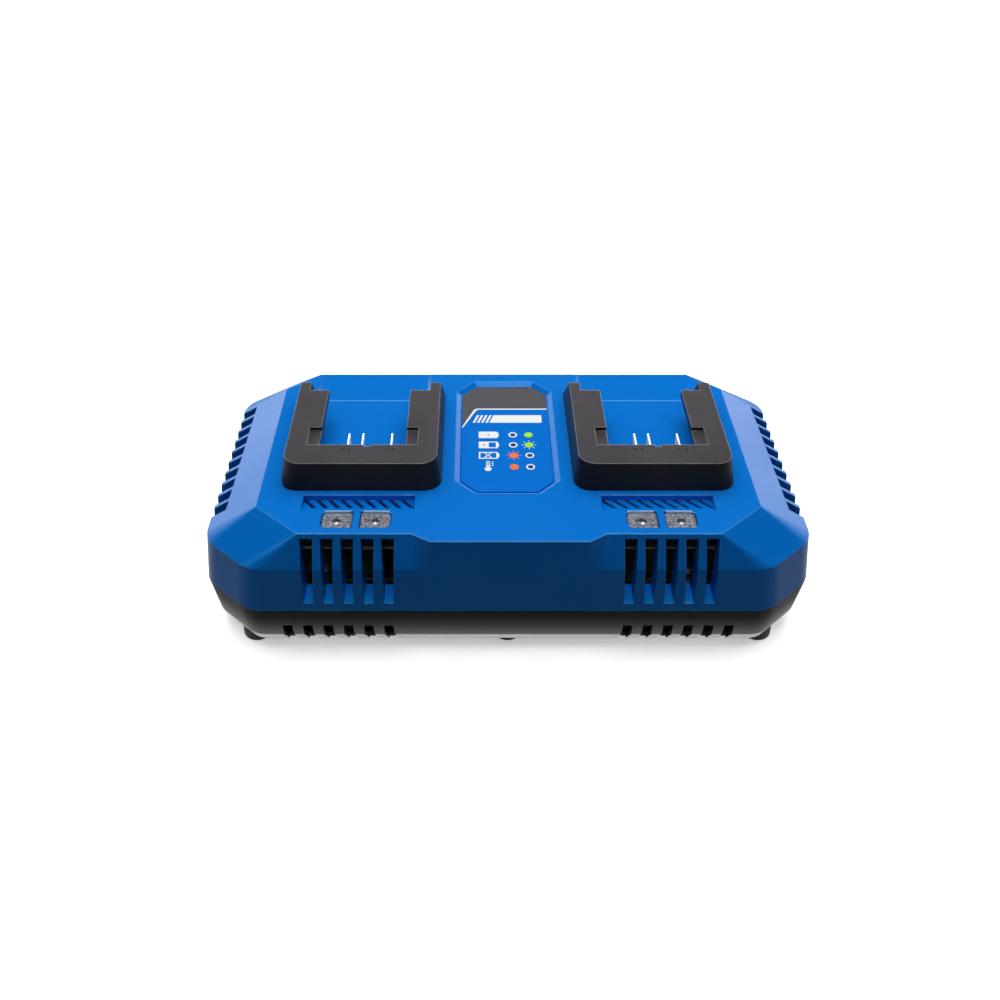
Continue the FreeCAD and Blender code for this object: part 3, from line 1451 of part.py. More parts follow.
parts = [upper_housing(), lower_housing(), label_overlay()]
for side in ("left", "right"):
    parts += [dock_frame(side), terminal_block(side), contact_blades(side)]
    parts += [light_shroud(side), light_board(side), status_leds(side), output_harness(side)]
for name in window_places:
    parts.append(light_window(name))
parts.append(main_board())
for side, sign in (("left", "-"), ("right", "")):
    parts.append(transformer_core(side, f"{sign}core_centre_x"))
    parts.append(transformer_winding(side, f"{sign}core_centre_x"))
    parts.append(heat_sink(side, f"{sign}sink_centre_x"))
parts.append(cans("bulk_capacitors", bulk_places, "capacitor_radius", "capacitor_height"))
parts.append(cans("output_capacitors", output_places, "small_capacitor_radius",
                  "small_capacitor_height"))
parts += [power_transistors(), mains_choke(), fuse(), board_connectors()]
parts += [fan_frame(), fan_rotor(), rubber_feet(), cord_gland()]
parts.append(screws("housing_screws", screw_places, "boss_split + screw_bite",
                    "belly_height + floor_wall + screw_head", "screw_radius", "screw_head_radius",
                    "screw_head"))
parts.append(board_screws())
parts.append(small_screws("light_board_screws", light_screws, f"{light_seat} + small_screw_bite",
                          light_seat))
parts.append(small_screws("block_screws", front_legs,
                          f"{flange_seat} + block_flange + small_screw_bite - bite_gap", flange_seat))
parts.append(small_screws("dock_screws", rear_legs, f"{deck_seat} + small_screw_bite - bite_gap",
                          deck_seat))

doc.recompute()
for thing in doc.Objects:
    if "Invalid" in thing.State or "Error" in thing.State:
        raise ValueError(f"{thing.Label} did not build: {thing.State}")
for thing in parts:
    if thing.Shape.isNull() or not thing.Shape.isValid():
        raise ValueError(f"{thing.Label} has a bad shape")
for thing in parts:
    thing.Shape.exportStep(f"parts/{thing.Label}.step")
    print(thing.Label, len(thing.Shape.Solids), round(thing.Shape.Volume))
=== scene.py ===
import bpy
import math
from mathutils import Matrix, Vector


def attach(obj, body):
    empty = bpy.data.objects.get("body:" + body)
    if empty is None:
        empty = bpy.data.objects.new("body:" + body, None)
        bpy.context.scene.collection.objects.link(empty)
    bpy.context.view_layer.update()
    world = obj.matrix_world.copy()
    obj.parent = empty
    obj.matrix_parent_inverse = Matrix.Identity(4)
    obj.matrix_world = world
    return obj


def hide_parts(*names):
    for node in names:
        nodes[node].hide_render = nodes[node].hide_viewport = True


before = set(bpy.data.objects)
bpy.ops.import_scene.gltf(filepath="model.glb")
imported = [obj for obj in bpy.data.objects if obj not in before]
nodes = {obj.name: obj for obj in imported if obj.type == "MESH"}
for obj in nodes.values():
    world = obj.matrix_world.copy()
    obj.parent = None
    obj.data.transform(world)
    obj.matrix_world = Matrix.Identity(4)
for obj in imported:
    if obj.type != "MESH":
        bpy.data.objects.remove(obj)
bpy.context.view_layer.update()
scene = bpy.context.scene
print("frame loaded:", len(nodes), "nodes")

mm = 0.001

# the camera that the photograph gives
photoView = {
    "x": -16.4, "y": -511.9, "z": 449.1,  # millimetres
    "pitch": 29.09,  # degrees below level
    "lens": 40.38, "sensor": 36, "shiftX": 0.0234, "shiftY": -0.20,
    "near": 10,  # millimetres
}


def setCamera():
    data = bpy.data.cameras.new("photoCamera")
    camera = bpy.data.objects.new("photoCamera", data)
    scene.collection.objects.link(camera)
    camera.location = (photoView["x"] * mm, photoView["y"] * mm, photoView["z"] * mm)
    camera.rotation_euler = (math.radians(90 - photoView["pitch"]), 0, 0)
    data.lens = photoView["lens"]
    data.sensor_width = photoView["sensor"]
    data.shift_x = photoView["shiftX"]
    data.shift_y = photoView["shiftY"]
    data.clip_start = photoView["near"] * mm
    scene.camera = camera


setCamera()
print("camera set")


# material helpers
def newMaterial(name):
    material = bpy.data.materials.new(name)
    material.use_nodes = True
    tree = material.node_tree
    return material, tree, tree.nodes["Principled BSDF"]


def addNode(tree, kind, **values):
    node = tree.nodes.new(kind)
    for key, value in values.items():
        setattr(node, key, value)
    return node


def join(tree, source, target):
    tree.links.new(source, target)


# a number or a colour is written into the socket, and an output is linked to it
def feed(tree, socket, value):
    if isinstance(value, tuple):
        socket.default_value = (*value, 1.0)
    elif isinstance(value, (int, float)):
        socket.default_value = value
    else:
        join(tree, value, socket)


def feedAll(tree, node, values):
    for label, value in values.items():
        feed(tree, node.inputs[label], value)


def mathNode(tree, operation, first, second=0.0, clamp=False):
    node = addNode(tree, "ShaderNodeMath", operation=operation, use_clamp=clamp)
    feed(tree, node.inputs[0], first)
    feed(tree, node.inputs[1], second)
    return node.outputs[0]


def product(tree, first, *others):
    for other in others:
        first = mathNode(tree, "MULTIPLY", first, other)
    return first


def awayFrom(tree, value, middle):
    return mathNode(tree, "ABSOLUTE", mathNode(tree, "SUBTRACT", value, middle))


def mixColour(tree, factor, first, second):
    node = addNode(tree, "ShaderNodeMix", data_type="RGBA")
    for index, value in ((0, factor), (6, first), (7, second)):
        feed(tree, node.inputs[index], value)
    return node.outputs[2]


def mixValue(tree, factor, first, second):
    node = addNode(tree, "ShaderNodeMix", data_type="FLOAT")
    for index, value in ((0, factor), (2, first), (3, second)):
        feed(tree, node.inputs[index], value)
    return node.outputs[0]


def mapRange(tree, value, fromLow, fromHigh, toLow=0.0, toHigh=1.0, soft=False):
    node = addNode(tree, "ShaderNodeMapRange", interpolation_type="SMOOTHSTEP" if soft else "LINEAR")
    feedAll(tree, node, {"Value": value, "From Min": fromLow, "From Max": fromHigh,
                         "To Min": toLow, "To Max": toHigh})
    return node.outputs[0]


def noiseNode(tree, place, scale, detail=2.0, roughness=0.5):
    node = addNode(tree, "ShaderNodeTexNoise")
    feedAll(tree, node, {"Vector": place, "Scale": scale, "Detail": detail, "Roughness": roughness})
    return node.outputs[0]


def bumpNode(tree, height, strength, depth, normal=None):
    node = addNode(tree, "ShaderNodeBump")
    feedAll(tree, node, {"Height": height, "Strength": strength, "Distance": depth * mm})
    if normal is not None:
        join(tree, normal, node.inputs["Normal"])
    return node.outputs[0]


def nookNode(tree, reach, samples):
    node = addNode(tree, "ShaderNodeAmbientOcclusion", samples=samples)
    node.inputs["Distance"].default_value = reach * mm
    return node.outputs["AO"]


def objectPlace(tree):
    return addNode(tree, "ShaderNodeTexCoord").outputs["Object"]


def faceNormal(tree):
    return addNode(tree, "ShaderNodeNewGeometry").outputs["Normal"]


def splitAxes(tree, vector):
    node = addNode(tree, "ShaderNodeSeparateXYZ")
    join(tree, vector, node.inputs[0])
    return node.outputs


def newGroup(name, inputs, outputs):
    tree = bpy.data.node_groups.new(name, "ShaderNodeTree")
    for label, value in inputs.items():
        colour = isinstance(value, tuple)
        socket = tree.interface.new_socket(
            label, in_out="INPUT", socket_type="NodeSocketColor" if colour else "NodeSocketFloat")
        socket.default_value = (*value, 1.0) if colour else value
    for label, kind in outputs.items():
        tree.interface.new_socket(label, in_out="OUTPUT", socket_type="NodeSocket" + kind)
    return tree, addNode(tree, "NodeGroupInput").outputs, addNode(tree, "NodeGroupOutput").inputs


def useGroup(tree, group, **values):
    node = addNode(tree, "ShaderNodeGroup", node_tree=group)
    feedAll(tree, node, values)
    return node.outputs


# moulded plastic: fine spark-eroded grain, faint flow blotches, a painted highlight on edges that face up,
# painted shade in nooks and on walls
mouldLook = {
    "grainDetail": 3.0, "grainDepth": 0.1, "nookReach": 3.0,  # depth and reach in millimetres
    "flowScale": 22.0, "flowDetail": 4.0, "fleck": 0.6,
    "bendSamples": 6, "bendGain": 14.0,
    "topFrom": 0.2, "topTo": 0.65, "frontFrom": -0.1, "frontTo": -0.3,
    "nookSamples": 6, "nookFrom": 0.15, "nookTo": 0.7, "nookShade": 0.45,
    "roughFrom": 0.3, "roughTo": 0.7,
}


def buildMouldedSkin():
    look = mouldLook
    tree, given, result = newGroup("mouldedSkin", {
        "base": (0.5, 0.5, 0.5), "blotch": (0.45, 0.45, 0.45), "edge": (0.7, 0.7, 0.7),
        "edgeHighlightAmount": 0.5, "edgeWidth": 0.0006, "grainScale": 2500.0, "grainHeight": 0.25,
        "roughLow": 0.4, "roughHigh": 0.6, "wallShade": 1.0, "frontOnly": 0.0,
    }, {"colour": "Color", "roughness": "Float", "normal": "Vector"})
    place = objectPlace(tree)
    grain = noiseNode(tree, place, given["grainScale"], look["grainDetail"])
    flow = noiseNode(tree, place, look["flowScale"], look["flowDetail"])

    rounded = addNode(tree, "ShaderNodeBevel", samples=look["bendSamples"])
    join(tree, given["edgeWidth"], rounded.inputs["Radius"])
    rounded = rounded.outputs[0]
    turned = addNode(tree, "ShaderNodeVectorMath", operation="DOT_PRODUCT")
    join(tree, rounded, turned.inputs[0])
    join(tree, faceNormal(tree), turned.inputs[1])
    bend = mathNode(tree, "SUBTRACT", 1.0, turned.outputs["Value"], clamp=True)
    bend = mathNode(tree, "MULTIPLY", bend, look["bendGain"], clamp=True)
    facing = splitAxes(tree, rounded)
    upward = mapRange(tree, facing[2], look["topFrom"], look["topTo"], soft=True)
    toFront = mapRange(tree, facing[1], look["frontFrom"], look["frontTo"], soft=True)
    choice = mixValue(tree, given["frontOnly"], 1.0, toFront)
    # painted highlight: edges that face up, and with frontOnly only those that also face the front, are mixed
    # towards the edge colour
    mask = product(tree, bend, upward, choice, given["edgeHighlightAmount"])

    fleck = mathNode(tree, "MULTIPLY", mathNode(tree, "SUBTRACT", grain, 0.5), look["fleck"])
    spread = mathNode(tree, "ADD", flow, fleck, clamp=True)
    body = mixColour(tree, spread, given["base"], given["blotch"])
    body = mixColour(tree, mask, body, given["edge"])
    # painted shade: the colour darkens in nooks, creases and recesses, where ambient occlusion finds other
    # surfaces close by
    nook = nookNode(tree, look["nookReach"], look["nookSamples"])
    openness = mapRange(tree, nook, look["nookFrom"], look["nookTo"], look["nookShade"])
    # painted shade: walls are darker than tops, as the light falls from above
    paintedWallShade = mapRange(tree, upward, 0.0, 1.0, given["wallShade"])  # tops are paler than walls
    shaded = addNode(tree, "ShaderNodeVectorMath", operation="SCALE")
    join(tree, body, shaded.inputs[0])
    join(tree, product(tree, openness, paintedWallShade), shaded.inputs["Scale"])
    rough = mapRange(tree, spread, look["roughFrom"], look["roughTo"],
                     given["roughLow"], given["roughHigh"])
    grained = bumpNode(tree, grain, given["grainHeight"], look["grainDepth"], rounded)

    join(tree, shaded.outputs[0], result["colour"])
    join(tree, rough, result["roughness"])
    join(tree, grained, result["normal"])
    return tree


# a soft dark line at one height, for the shadow gap between the two housings
seamLook = {
    "height": 31.5, "width": 1.0,  # millimetres above the bench
    "shade": (0.004, 0.005, 0.008), "falloff": 4.0,
}


def buildPartingLine():
    look = seamLook
    tree, given, result = newGroup("partingLine", {
        "colour": (0.5, 0.5, 0.5), "height": look["height"] * mm, "width": look["width"] * mm,
    }, {"colour": "Color"})
    away = awayFrom(tree, splitAxes(tree, objectPlace(tree))[2], given["height"])
    far = mathNode(tree, "DIVIDE", away, given["width"], clamp=True)
    far = mathNode(tree, "POWER", far, look["falloff"])
    join(tree, mixColour(tree, far, look["shade"], given["colour"]), result["colour"])
    return tree


# the tray: dull under the seam, glossier towards the bench, with a painted reflection on the lower bevel, pale
# grey and metallic
trayLook = {
    "top": 29.0, "bevel": 12.2, "under": 7.4,  # millimetres above the bench
    "paintedBevelReflection": (0.84, 0.83, 0.84), "fade": 1.9, "slope": -0.25, "coatIor": 2.3, "coatRough": 0.3,
}


def buildTrayShade():
    look = trayLook
    tree, given, result = newGroup("trayShade", {
        "colour": (0.5, 0.5, 0.5), "paintedBevelReflection": look["paintedBevelReflection"],
        "top": look["top"] * mm, "bevel": look["bevel"] * mm, "under": look["under"] * mm,
    }, {"colour": "Color", "gloss": "Float", "bevel": "Float"})
    height = splitAxes(tree, objectPlace(tree))[2]
    fall = mapRange(tree, height, given["bevel"], given["top"], 1.0, 0.0)
    below = mathNode(tree, "LESS_THAN", height, given["bevel"])
    above = mathNode(tree, "GREATER_THAN", height, given["under"])
    sloped = mathNode(tree, "LESS_THAN", splitAxes(tree, faceNormal(tree))[2], look["slope"])
    band = product(tree, below, above, sloped)
    # painted reflection: the lower bevel band is pale grey, and the bevel output makes it metallic
    join(tree, mixColour(tree, band, given["colour"], given["paintedBevelReflection"]), result["colour"])
    join(tree, mathNode(tree, "POWER", fall, look["fade"]), result["gloss"])
    join(tree, band, result["bevel"])
    return tree


# painted highlights: light lines on the fold across each bay and the rear walls of the window openings, and
# lighter slopes at the foot of the front slots
paintedHighlightLook = {
    "dockCentre": 77.5, "windowOffset": 9.8, "deck": 71.5,  # millimetres
    "foldY": 40.5, "foldHalf": 0.8, "foldReach": 31.6, "foldAmount": 0.8,
    "rimY": -62.7, "rimHalf": 0.9, "rimReach": 6.6, "rimAmount": 2.0,
    "sillFront": -74.5, "sillTop": 47.0, "sillSlope": 0.2,
    "fold": (0.1, 0.4, 0.85), "rim": (0.45, 0.68, 1.0), "sill": (0.01, 0.42, 1.0),
}


def buildPaintedHighlights():
    look = paintedHighlightLook
    tree, given, result = newGroup("paintedHighlights", {
        "colour": (0.5, 0.5, 0.5), "fold": look["fold"], "rim": look["rim"], "sill": look["sill"],
    }, {"colour": "Color"})
    x, y, z = splitAxes(tree, objectPlace(tree))
    across = awayFrom(tree, mathNode(tree, "ABSOLUTE", x), look["dockCentre"] * mm)
    window = awayFrom(tree, across, look["windowOffset"] * mm)
    onDeck = mathNode(tree, "GREATER_THAN", z, look["deck"] * mm)

    def highlightLine(name, sideways):
        away = awayFrom(tree, y, look[name + "Y"] * mm)
        away = mathNode(tree, "DIVIDE", away, look[name + "Half"] * mm)
        near = mathNode(tree, "SUBTRACT", 1.0, away, clamp=True)
        inside = mathNode(tree, "LESS_THAN", sideways, look[name + "Reach"] * mm)
        line = product(tree, near, inside, onDeck)
        return mathNode(tree, "MULTIPLY", line, look[name + "Amount"], clamp=True)

    sloped = mathNode(tree, "GREATER_THAN", splitAxes(tree, faceNormal(tree))[2], look["sillSlope"])
    front = mathNode(tree, "LESS_THAN", y, look["sillFront"] * mm)
    deep = mathNode(tree, "LESS_THAN", z, look["sillTop"] * mm)
    colour = mixColour(tree, highlightLine("fold", across), given["colour"], given["fold"])
    colour = mixColour(tree, product(tree, sloped, front, deep), colour, given["sill"])
    join(tree, mixColour(tree, highlightLine("rim", window), colour, given["rim"]), result["colour"])
    return tree


# painted shade: dark spots in the dimples on the bar of each dock
dimpleShadeLook = {
    "docks": (-77.5, 77.5), "offsets": (-9.9, -6.3, 13.4, 17.0),  # millimetres
    "y": -31.9, "radius": 0.95,  # millimetres
    "shade": (0.002, 0.002, 0.002),
}


def buildDockDimpleShade():
    look = dimpleShadeLook
    tree, given, result = newGroup("dockDimpleShade", {
        "colour": (0.05, 0.05, 0.05), "dimpleShade": look["shade"], "radius": look["radius"] * mm,
    }, {"colour": "Color"})
    split = splitAxes(tree, objectPlace(tree))
    flat = addNode(tree, "ShaderNodeCombineXYZ")
    for axis in (0, 1):
        join(tree, split[axis], flat.inputs[axis])
    mask = 0.0
    for middle in [dock + offset for dock in look["docks"] for offset in look["offsets"]]:
        away = addNode(tree, "ShaderNodeVectorMath", operation="DISTANCE")
        join(tree, flat.outputs[0], away.inputs[0])
        away.inputs[1].default_value = (middle * mm, look["y"] * mm, 0)
        spot = mathNode(tree, "LESS_THAN", away.outputs["Value"], given["radius"])
        mask = mathNode(tree, "MAXIMUM", mask, spot)
    join(tree, mixColour(tree, mask, given["colour"], given["dimpleShade"]), result["colour"])
    return tree


# metal: fine drawn streaks along one axis with faint tarnish
drawnLook = {
    "stretch": (1.0, 0.08, 1.0), "streakDetail": 4.0, "cloudScale": 120.0,
    "depth": 0.05, "strength": 0.3,  # depth in millimetres
}


def buildDrawnMetal():
    look = drawnLook
    tree, given, result = newGroup("drawnMetal", {
        "base": (0.7, 0.7, 0.7), "tarnish": (0.5, 0.5, 0.5), "streak": 900.0,
        "roughLow": 0.2, "roughHigh": 0.4,
    }, {"colour": "Color", "roughness": "Float", "normal": "Vector"})
    place = objectPlace(tree)
    stretched = addNode(tree, "ShaderNodeMapping")
    stretched.inputs["Scale"].default_value = look["stretch"]
    join(tree, place, stretched.inputs["Vector"])
    lines = noiseNode(tree, stretched.outputs[0], given["streak"], look["streakDetail"])
    cloud = noiseNode(tree, place, look["cloudScale"])
    rough = mapRange(tree, lines, 0.0, 1.0, given["roughLow"], given["roughHigh"])
    join(tree, mixColour(tree, cloud, given["base"], given["tarnish"]), result["colour"])
    join(tree, rough, result["roughness"])
    join(tree, bumpNode(tree, lines, look["strength"], look["depth"]), result["normal"])
    return tree


mouldedSkin = buildMouldedSkin()
partingLine = buildPartingLine()
trayShade = buildTrayShade()
paintedHighlights = buildPaintedHighlights()
dockDimpleShade = buildDockDimpleShade()
drawnMetal = buildDrawnMetal()
print("shader groups built")

# edge is the colour of the painted edge highlight; wallShade is the painted shade on walls against tops
plasticLooks = {
    "blueShell": {
        "base": (0.0003, 0.174, 0.65), "blotch": (0.0003, 0.164, 0.61), "edge": (0.16, 0.55, 1.0),
        "edgeHighlightAmount": 0.8, "edgeWidth": 0.0010, "grainScale": 2600.0, "grainHeight": 0.12,
        "wallShade": 0.9, "frontOnly": 1.0,
        "roughLow": 0.18, "roughHigh": 0.24, "specular": 0.12, "tint": (0.42, 0.78, 1.0), "seam": True,
    },
    "blackBase": {
        "base": (0.016, 0.015, 0.015), "blotch": (0.022, 0.021, 0.021), "edge": (0.22, 0.22, 0.23),
        "edgeHighlightAmount": 0.6, "edgeWidth": 0.0008, "grainScale": 2200.0, "grainHeight": 0.3,
        "roughLow": 0.34, "roughHigh": 0.44, "specular": 0.05, "seam": True,
    },
    "dockBlack": {
        "base": (0.030, 0.027, 0.031), "blotch": (0.047, 0.043, 0.048), "edge": (0.55, 0.54, 0.58),
        "edgeHighlightAmount": 0.6, "edgeWidth": 0.0006, "grainScale": 2400.0, "grainHeight": 0.4,
        "wallShade": 0.15,
        "roughLow": 0.32, "roughHigh": 0.42, "specular": 0.14,
    },
    "terminalBlack": {
        "base": (0.002, 0.0025, 0.006), "blotch": (0.003, 0.0035, 0.008), "edge": (0.006, 0.007, 0.012),
        "edgeHighlightAmount": 0.3, "edgeWidth": 0.0004, "grainScale": 2600.0, "grainHeight": 0.2,
        "roughLow": 0.45, "roughHigh": 0.6, "specular": 0.06,
    },
    "labelBlue": {
        "base": (0.0003, 0.168, 0.66), "blotch": (0.0003, 0.160, 0.63), "edge": (0.02, 0.25, 0.75),
        "edgeHighlightAmount": 0.3, "edgeWidth": 0.0003, "grainScale": 5200.0, "grainHeight": 0.08,
        "roughLow": 0.18, "roughHigh": 0.24, "specular": 0.12, "tint": (0.42, 0.78, 1.0),
    },
    "footRubber": {
        "base": (0.012, 0.012, 0.013), "blotch": (0.02, 0.02, 0.02), "edge": (0.05, 0.05, 0.05),
        "edgeHighlightAmount": 0.5, "edgeWidth": 0.0006, "grainScale": 1500.0, "grainHeight": 0.5,
        "roughLow": 0.75, "roughHigh": 0.9, "specular": 0.3,
    },
    # the near-black of the painted shade fill in the tray's slots
    "slotShadeBlack": {
        "base": (0.004, 0.004, 0.004), "blotch": (0.007, 0.007, 0.007), "edge": (0.012, 0.012, 0.012),
        "edgeHighlightAmount": 0.3, "edgeWidth": 0.0004, "grainScale": 2600.0, "grainHeight": 0.2,
        "roughLow": 0.5, "roughHigh": 0.65, "specular": 0.06,
    },
    "nylonIvory": {
        "base": (0.72, 0.70, 0.62), "blotch": (0.66, 0.64, 0.56), "edge": (0.85, 0.83, 0.78),
        "edgeHighlightAmount": 0.5, "edgeWidth": 0.0004, "grainScale": 1800.0, "grainHeight": 0.15,
        "roughLow": 0.4, "roughHigh": 0.55, "specular": 0.5,
    },
    "fanBlack": {
        "base": (0.016, 0.016, 0.018), "blotch": (0.022, 0.022, 0.024), "edge": (0.09, 0.09, 0.1),
        "edgeHighlightAmount": 0.5, "edgeWidth": 0.0004, "grainScale": 2000.0, "grainHeight": 0.2,
        "roughLow": 0.3, "roughHigh": 0.45, "specular": 0.5,
    },
    "canSleeve": {
        "base": (0.012, 0.014, 0.05), "blotch": (0.016, 0.018, 0.06), "edge": (0.2, 0.2, 0.25),
        "edgeHighlightAmount": 0.5, "edgeWidth": 0.0005, "grainScale": 900.0, "grainHeight": 0.08,
        "roughLow": 0.2, "roughHigh": 0.32, "specular": 0.5,
    },
    "epoxyBlack": {
        "base": (0.02, 0.02, 0.02), "blotch": (0.03, 0.03, 0.03), "edge": (0.08, 0.08, 0.08),
        "edgeHighlightAmount": 0.4, "edgeWidth": 0.0003, "grainScale": 3200.0, "grainHeight": 0.3,
        "roughLow": 0.5, "roughHigh": 0.7, "specular": 0.4,
    },
    "ferriteGrey": {
        "base": (0.05, 0.05, 0.055), "blotch": (0.08, 0.08, 0.085), "edge": (0.18, 0.18, 0.18),
        "edgeHighlightAmount": 0.6, "edgeWidth": 0.0005, "grainScale": 1600.0, "grainHeight": 0.5,
        "roughLow": 0.55, "roughHigh": 0.75, "specular": 0.4,
    },
    "coilTape": {
        "base": (0.62, 0.44, 0.06), "blotch": (0.52, 0.36, 0.05), "edge": (0.8, 0.7, 0.3),
        "edgeHighlightAmount": 0.4, "edgeWidth": 0.0005, "grainScale": 500.0, "grainHeight": 0.15,
        "roughLow": 0.25, "roughHigh": 0.4, "specular": 0.5,
    },
    "boardGreen": {
        "base": (0.002, 0.016, 0.013), "blotch": (0.003, 0.026, 0.017), "edge": (0.01, 0.03, 0.025),
        "edgeHighlightAmount": 0.1, "edgeWidth": 0.0003, "grainScale": 700.0, "grainHeight": 0.12,
        "roughLow": 0.3, "roughHigh": 0.45, "specular": 0.5,
    },
    "wireRed": {
        "base": (0.42, 0.02, 0.02), "blotch": (0.5, 0.03, 0.025), "edge": (0.6, 0.1, 0.1),
        "edgeHighlightAmount": 0.2, "edgeWidth": 0.0003, "grainScale": 1400.0, "grainHeight": 0.1,
        "roughLow": 0.35, "roughHigh": 0.5, "specular": 0.5,
    },
    "lampLens": {
        "base": (0.75, 0.75, 0.7), "blotch": (0.85, 0.85, 0.8), "edge": (0.95, 0.95, 0.9),
        "edgeHighlightAmount": 0.3, "edgeWidth": 0.0002, "grainScale": 3000.0, "grainHeight": 0.05,
        "roughLow": 0.15, "roughHigh": 0.25, "specular": 0.5,
    },
    "fuseGlass": {
        "base": (0.7, 0.74, 0.72), "blotch": (0.78, 0.8, 0.78), "edge": (0.9, 0.9, 0.9),
        "edgeHighlightAmount": 0.3, "edgeWidth": 0.0002, "grainScale": 1200.0, "grainHeight": 0.04,
        "roughLow": 0.1, "roughHigh": 0.2, "specular": 0.5,
    },
}

metalLooks = {
    "bladeNickel": {"base": (0.95, 0.96, 0.97), "tarnish": (0.84, 0.85, 0.86), "streak": 1500.0,
                    "roughLow": 0.22, "roughHigh": 0.38, "metallic": 0.35},
    "screwZinc": {"base": (0.6, 0.6, 0.62), "tarnish": (0.45, 0.45, 0.47), "streak": 1800.0,
                  "roughLow": 0.25, "roughHigh": 0.45, "metallic": 1.0},
    "sinkAluminium": {"base": (0.78, 0.79, 0.8), "tarnish": (0.66, 0.67, 0.68), "streak": 700.0,
                      "roughLow": 0.28, "roughHigh": 0.42, "metallic": 1.0},
    "coilCopper": {"base": (0.72, 0.30, 0.12), "tarnish": (0.5, 0.18, 0.07), "streak": 500.0,
                   "roughLow": 0.22, "roughHigh": 0.35, "metallic": 1.0},
}


def without(look, *keys):
    return {key: value for key, value in look.items() if key not in keys}


def coverSkin(tree, skin, colour, group):
    feedAll(tree, skin, {"Base Color": colour, "Roughness": group["roughness"],
                         "Normal": group["normal"]})


def makePlastic(name, look):
    material, tree, skin = newMaterial(name)
    group = useGroup(tree, mouldedSkin, **without(look, "specular", "tint", "seam"))
    colour = group["colour"]
    if name == "blueShell":
        colour = useGroup(tree, paintedHighlights, colour=colour)["colour"]
    if name == "blackBase":
        tray = useGroup(tree, trayShade, colour=colour)
        colour = tray["colour"]
        # the bevel mask makes the painted reflection metallic
        feedAll(tree, skin, {"Coat Weight": tray["gloss"], "Coat IOR": trayLook["coatIor"],
                             "Coat Roughness": trayLook["coatRough"], "Metallic": tray["bevel"]})
    if name == "dockBlack":
        colour = useGroup(tree, dockDimpleShade, colour=colour)["colour"]
    if look.get("seam"):
        colour = useGroup(tree, partingLine, colour=colour)["colour"]
    coverSkin(tree, skin, colour, group)
    feedAll(tree, skin, {"Specular IOR Level": look["specular"],
                         "Specular Tint": look.get("tint", (1.0, 1.0, 1.0))})
    return material


def makeMetal(name, look):
    material, tree, skin = newMaterial(name)
    group = useGroup(tree, drawnMetal, **without(look, "metallic"))
    coverSkin(tree, skin, group["colour"], group)
    skin.inputs["Metallic"].default_value = look["metallic"]
    return material


# the light windows: frosted clear plastic, mottled, with a pyramid prism in the middle of each drawn as painted
# shade with a painted highlight (the glint) below it, and painted shade in the gap round each window
windowLook = {
    "dockCentre": 77.5, "offset": 9.8, "y": -69.1,  # millimetres, each window's middle
    "halfWidth": 7.7, "halfDepth": 6.1, "rim": 0.45,  # millimetres
    "prismShadeX": 3.2, "prismShadeY": 2.3, "glintX": 1.25, "glintY": 1.2, "glintDrop": 2.0,  # millimetres
    "pale": (0.50, 0.51, 0.58), "shade": (0.055, 0.060, 0.080), "prismShade": (0.008, 0.009, 0.018),
    "glint": (0.95, 0.97, 1.0), "gapShade": (0.015, 0.03, 0.08), "gapShadeAmount": 0.85,
    "hazeScale": 760.0, "hazeDetail": 5.0, "hazeRough": 0.75, "wobble": 1.4,
    "ribScale": 150.0, "ribTwist": 3.0, "ribFine": 60.0, "ribShade": 0.35,
    "spotFrom": 1.25, "spotTo": 0.7, "speckFrom": 0.40, "speckTo": 0.68,
    "roughLow": 0.15, "roughHigh": 0.45, "bump": 0.35, "bumpDepth": 0.2, "coat": 0.4,
}


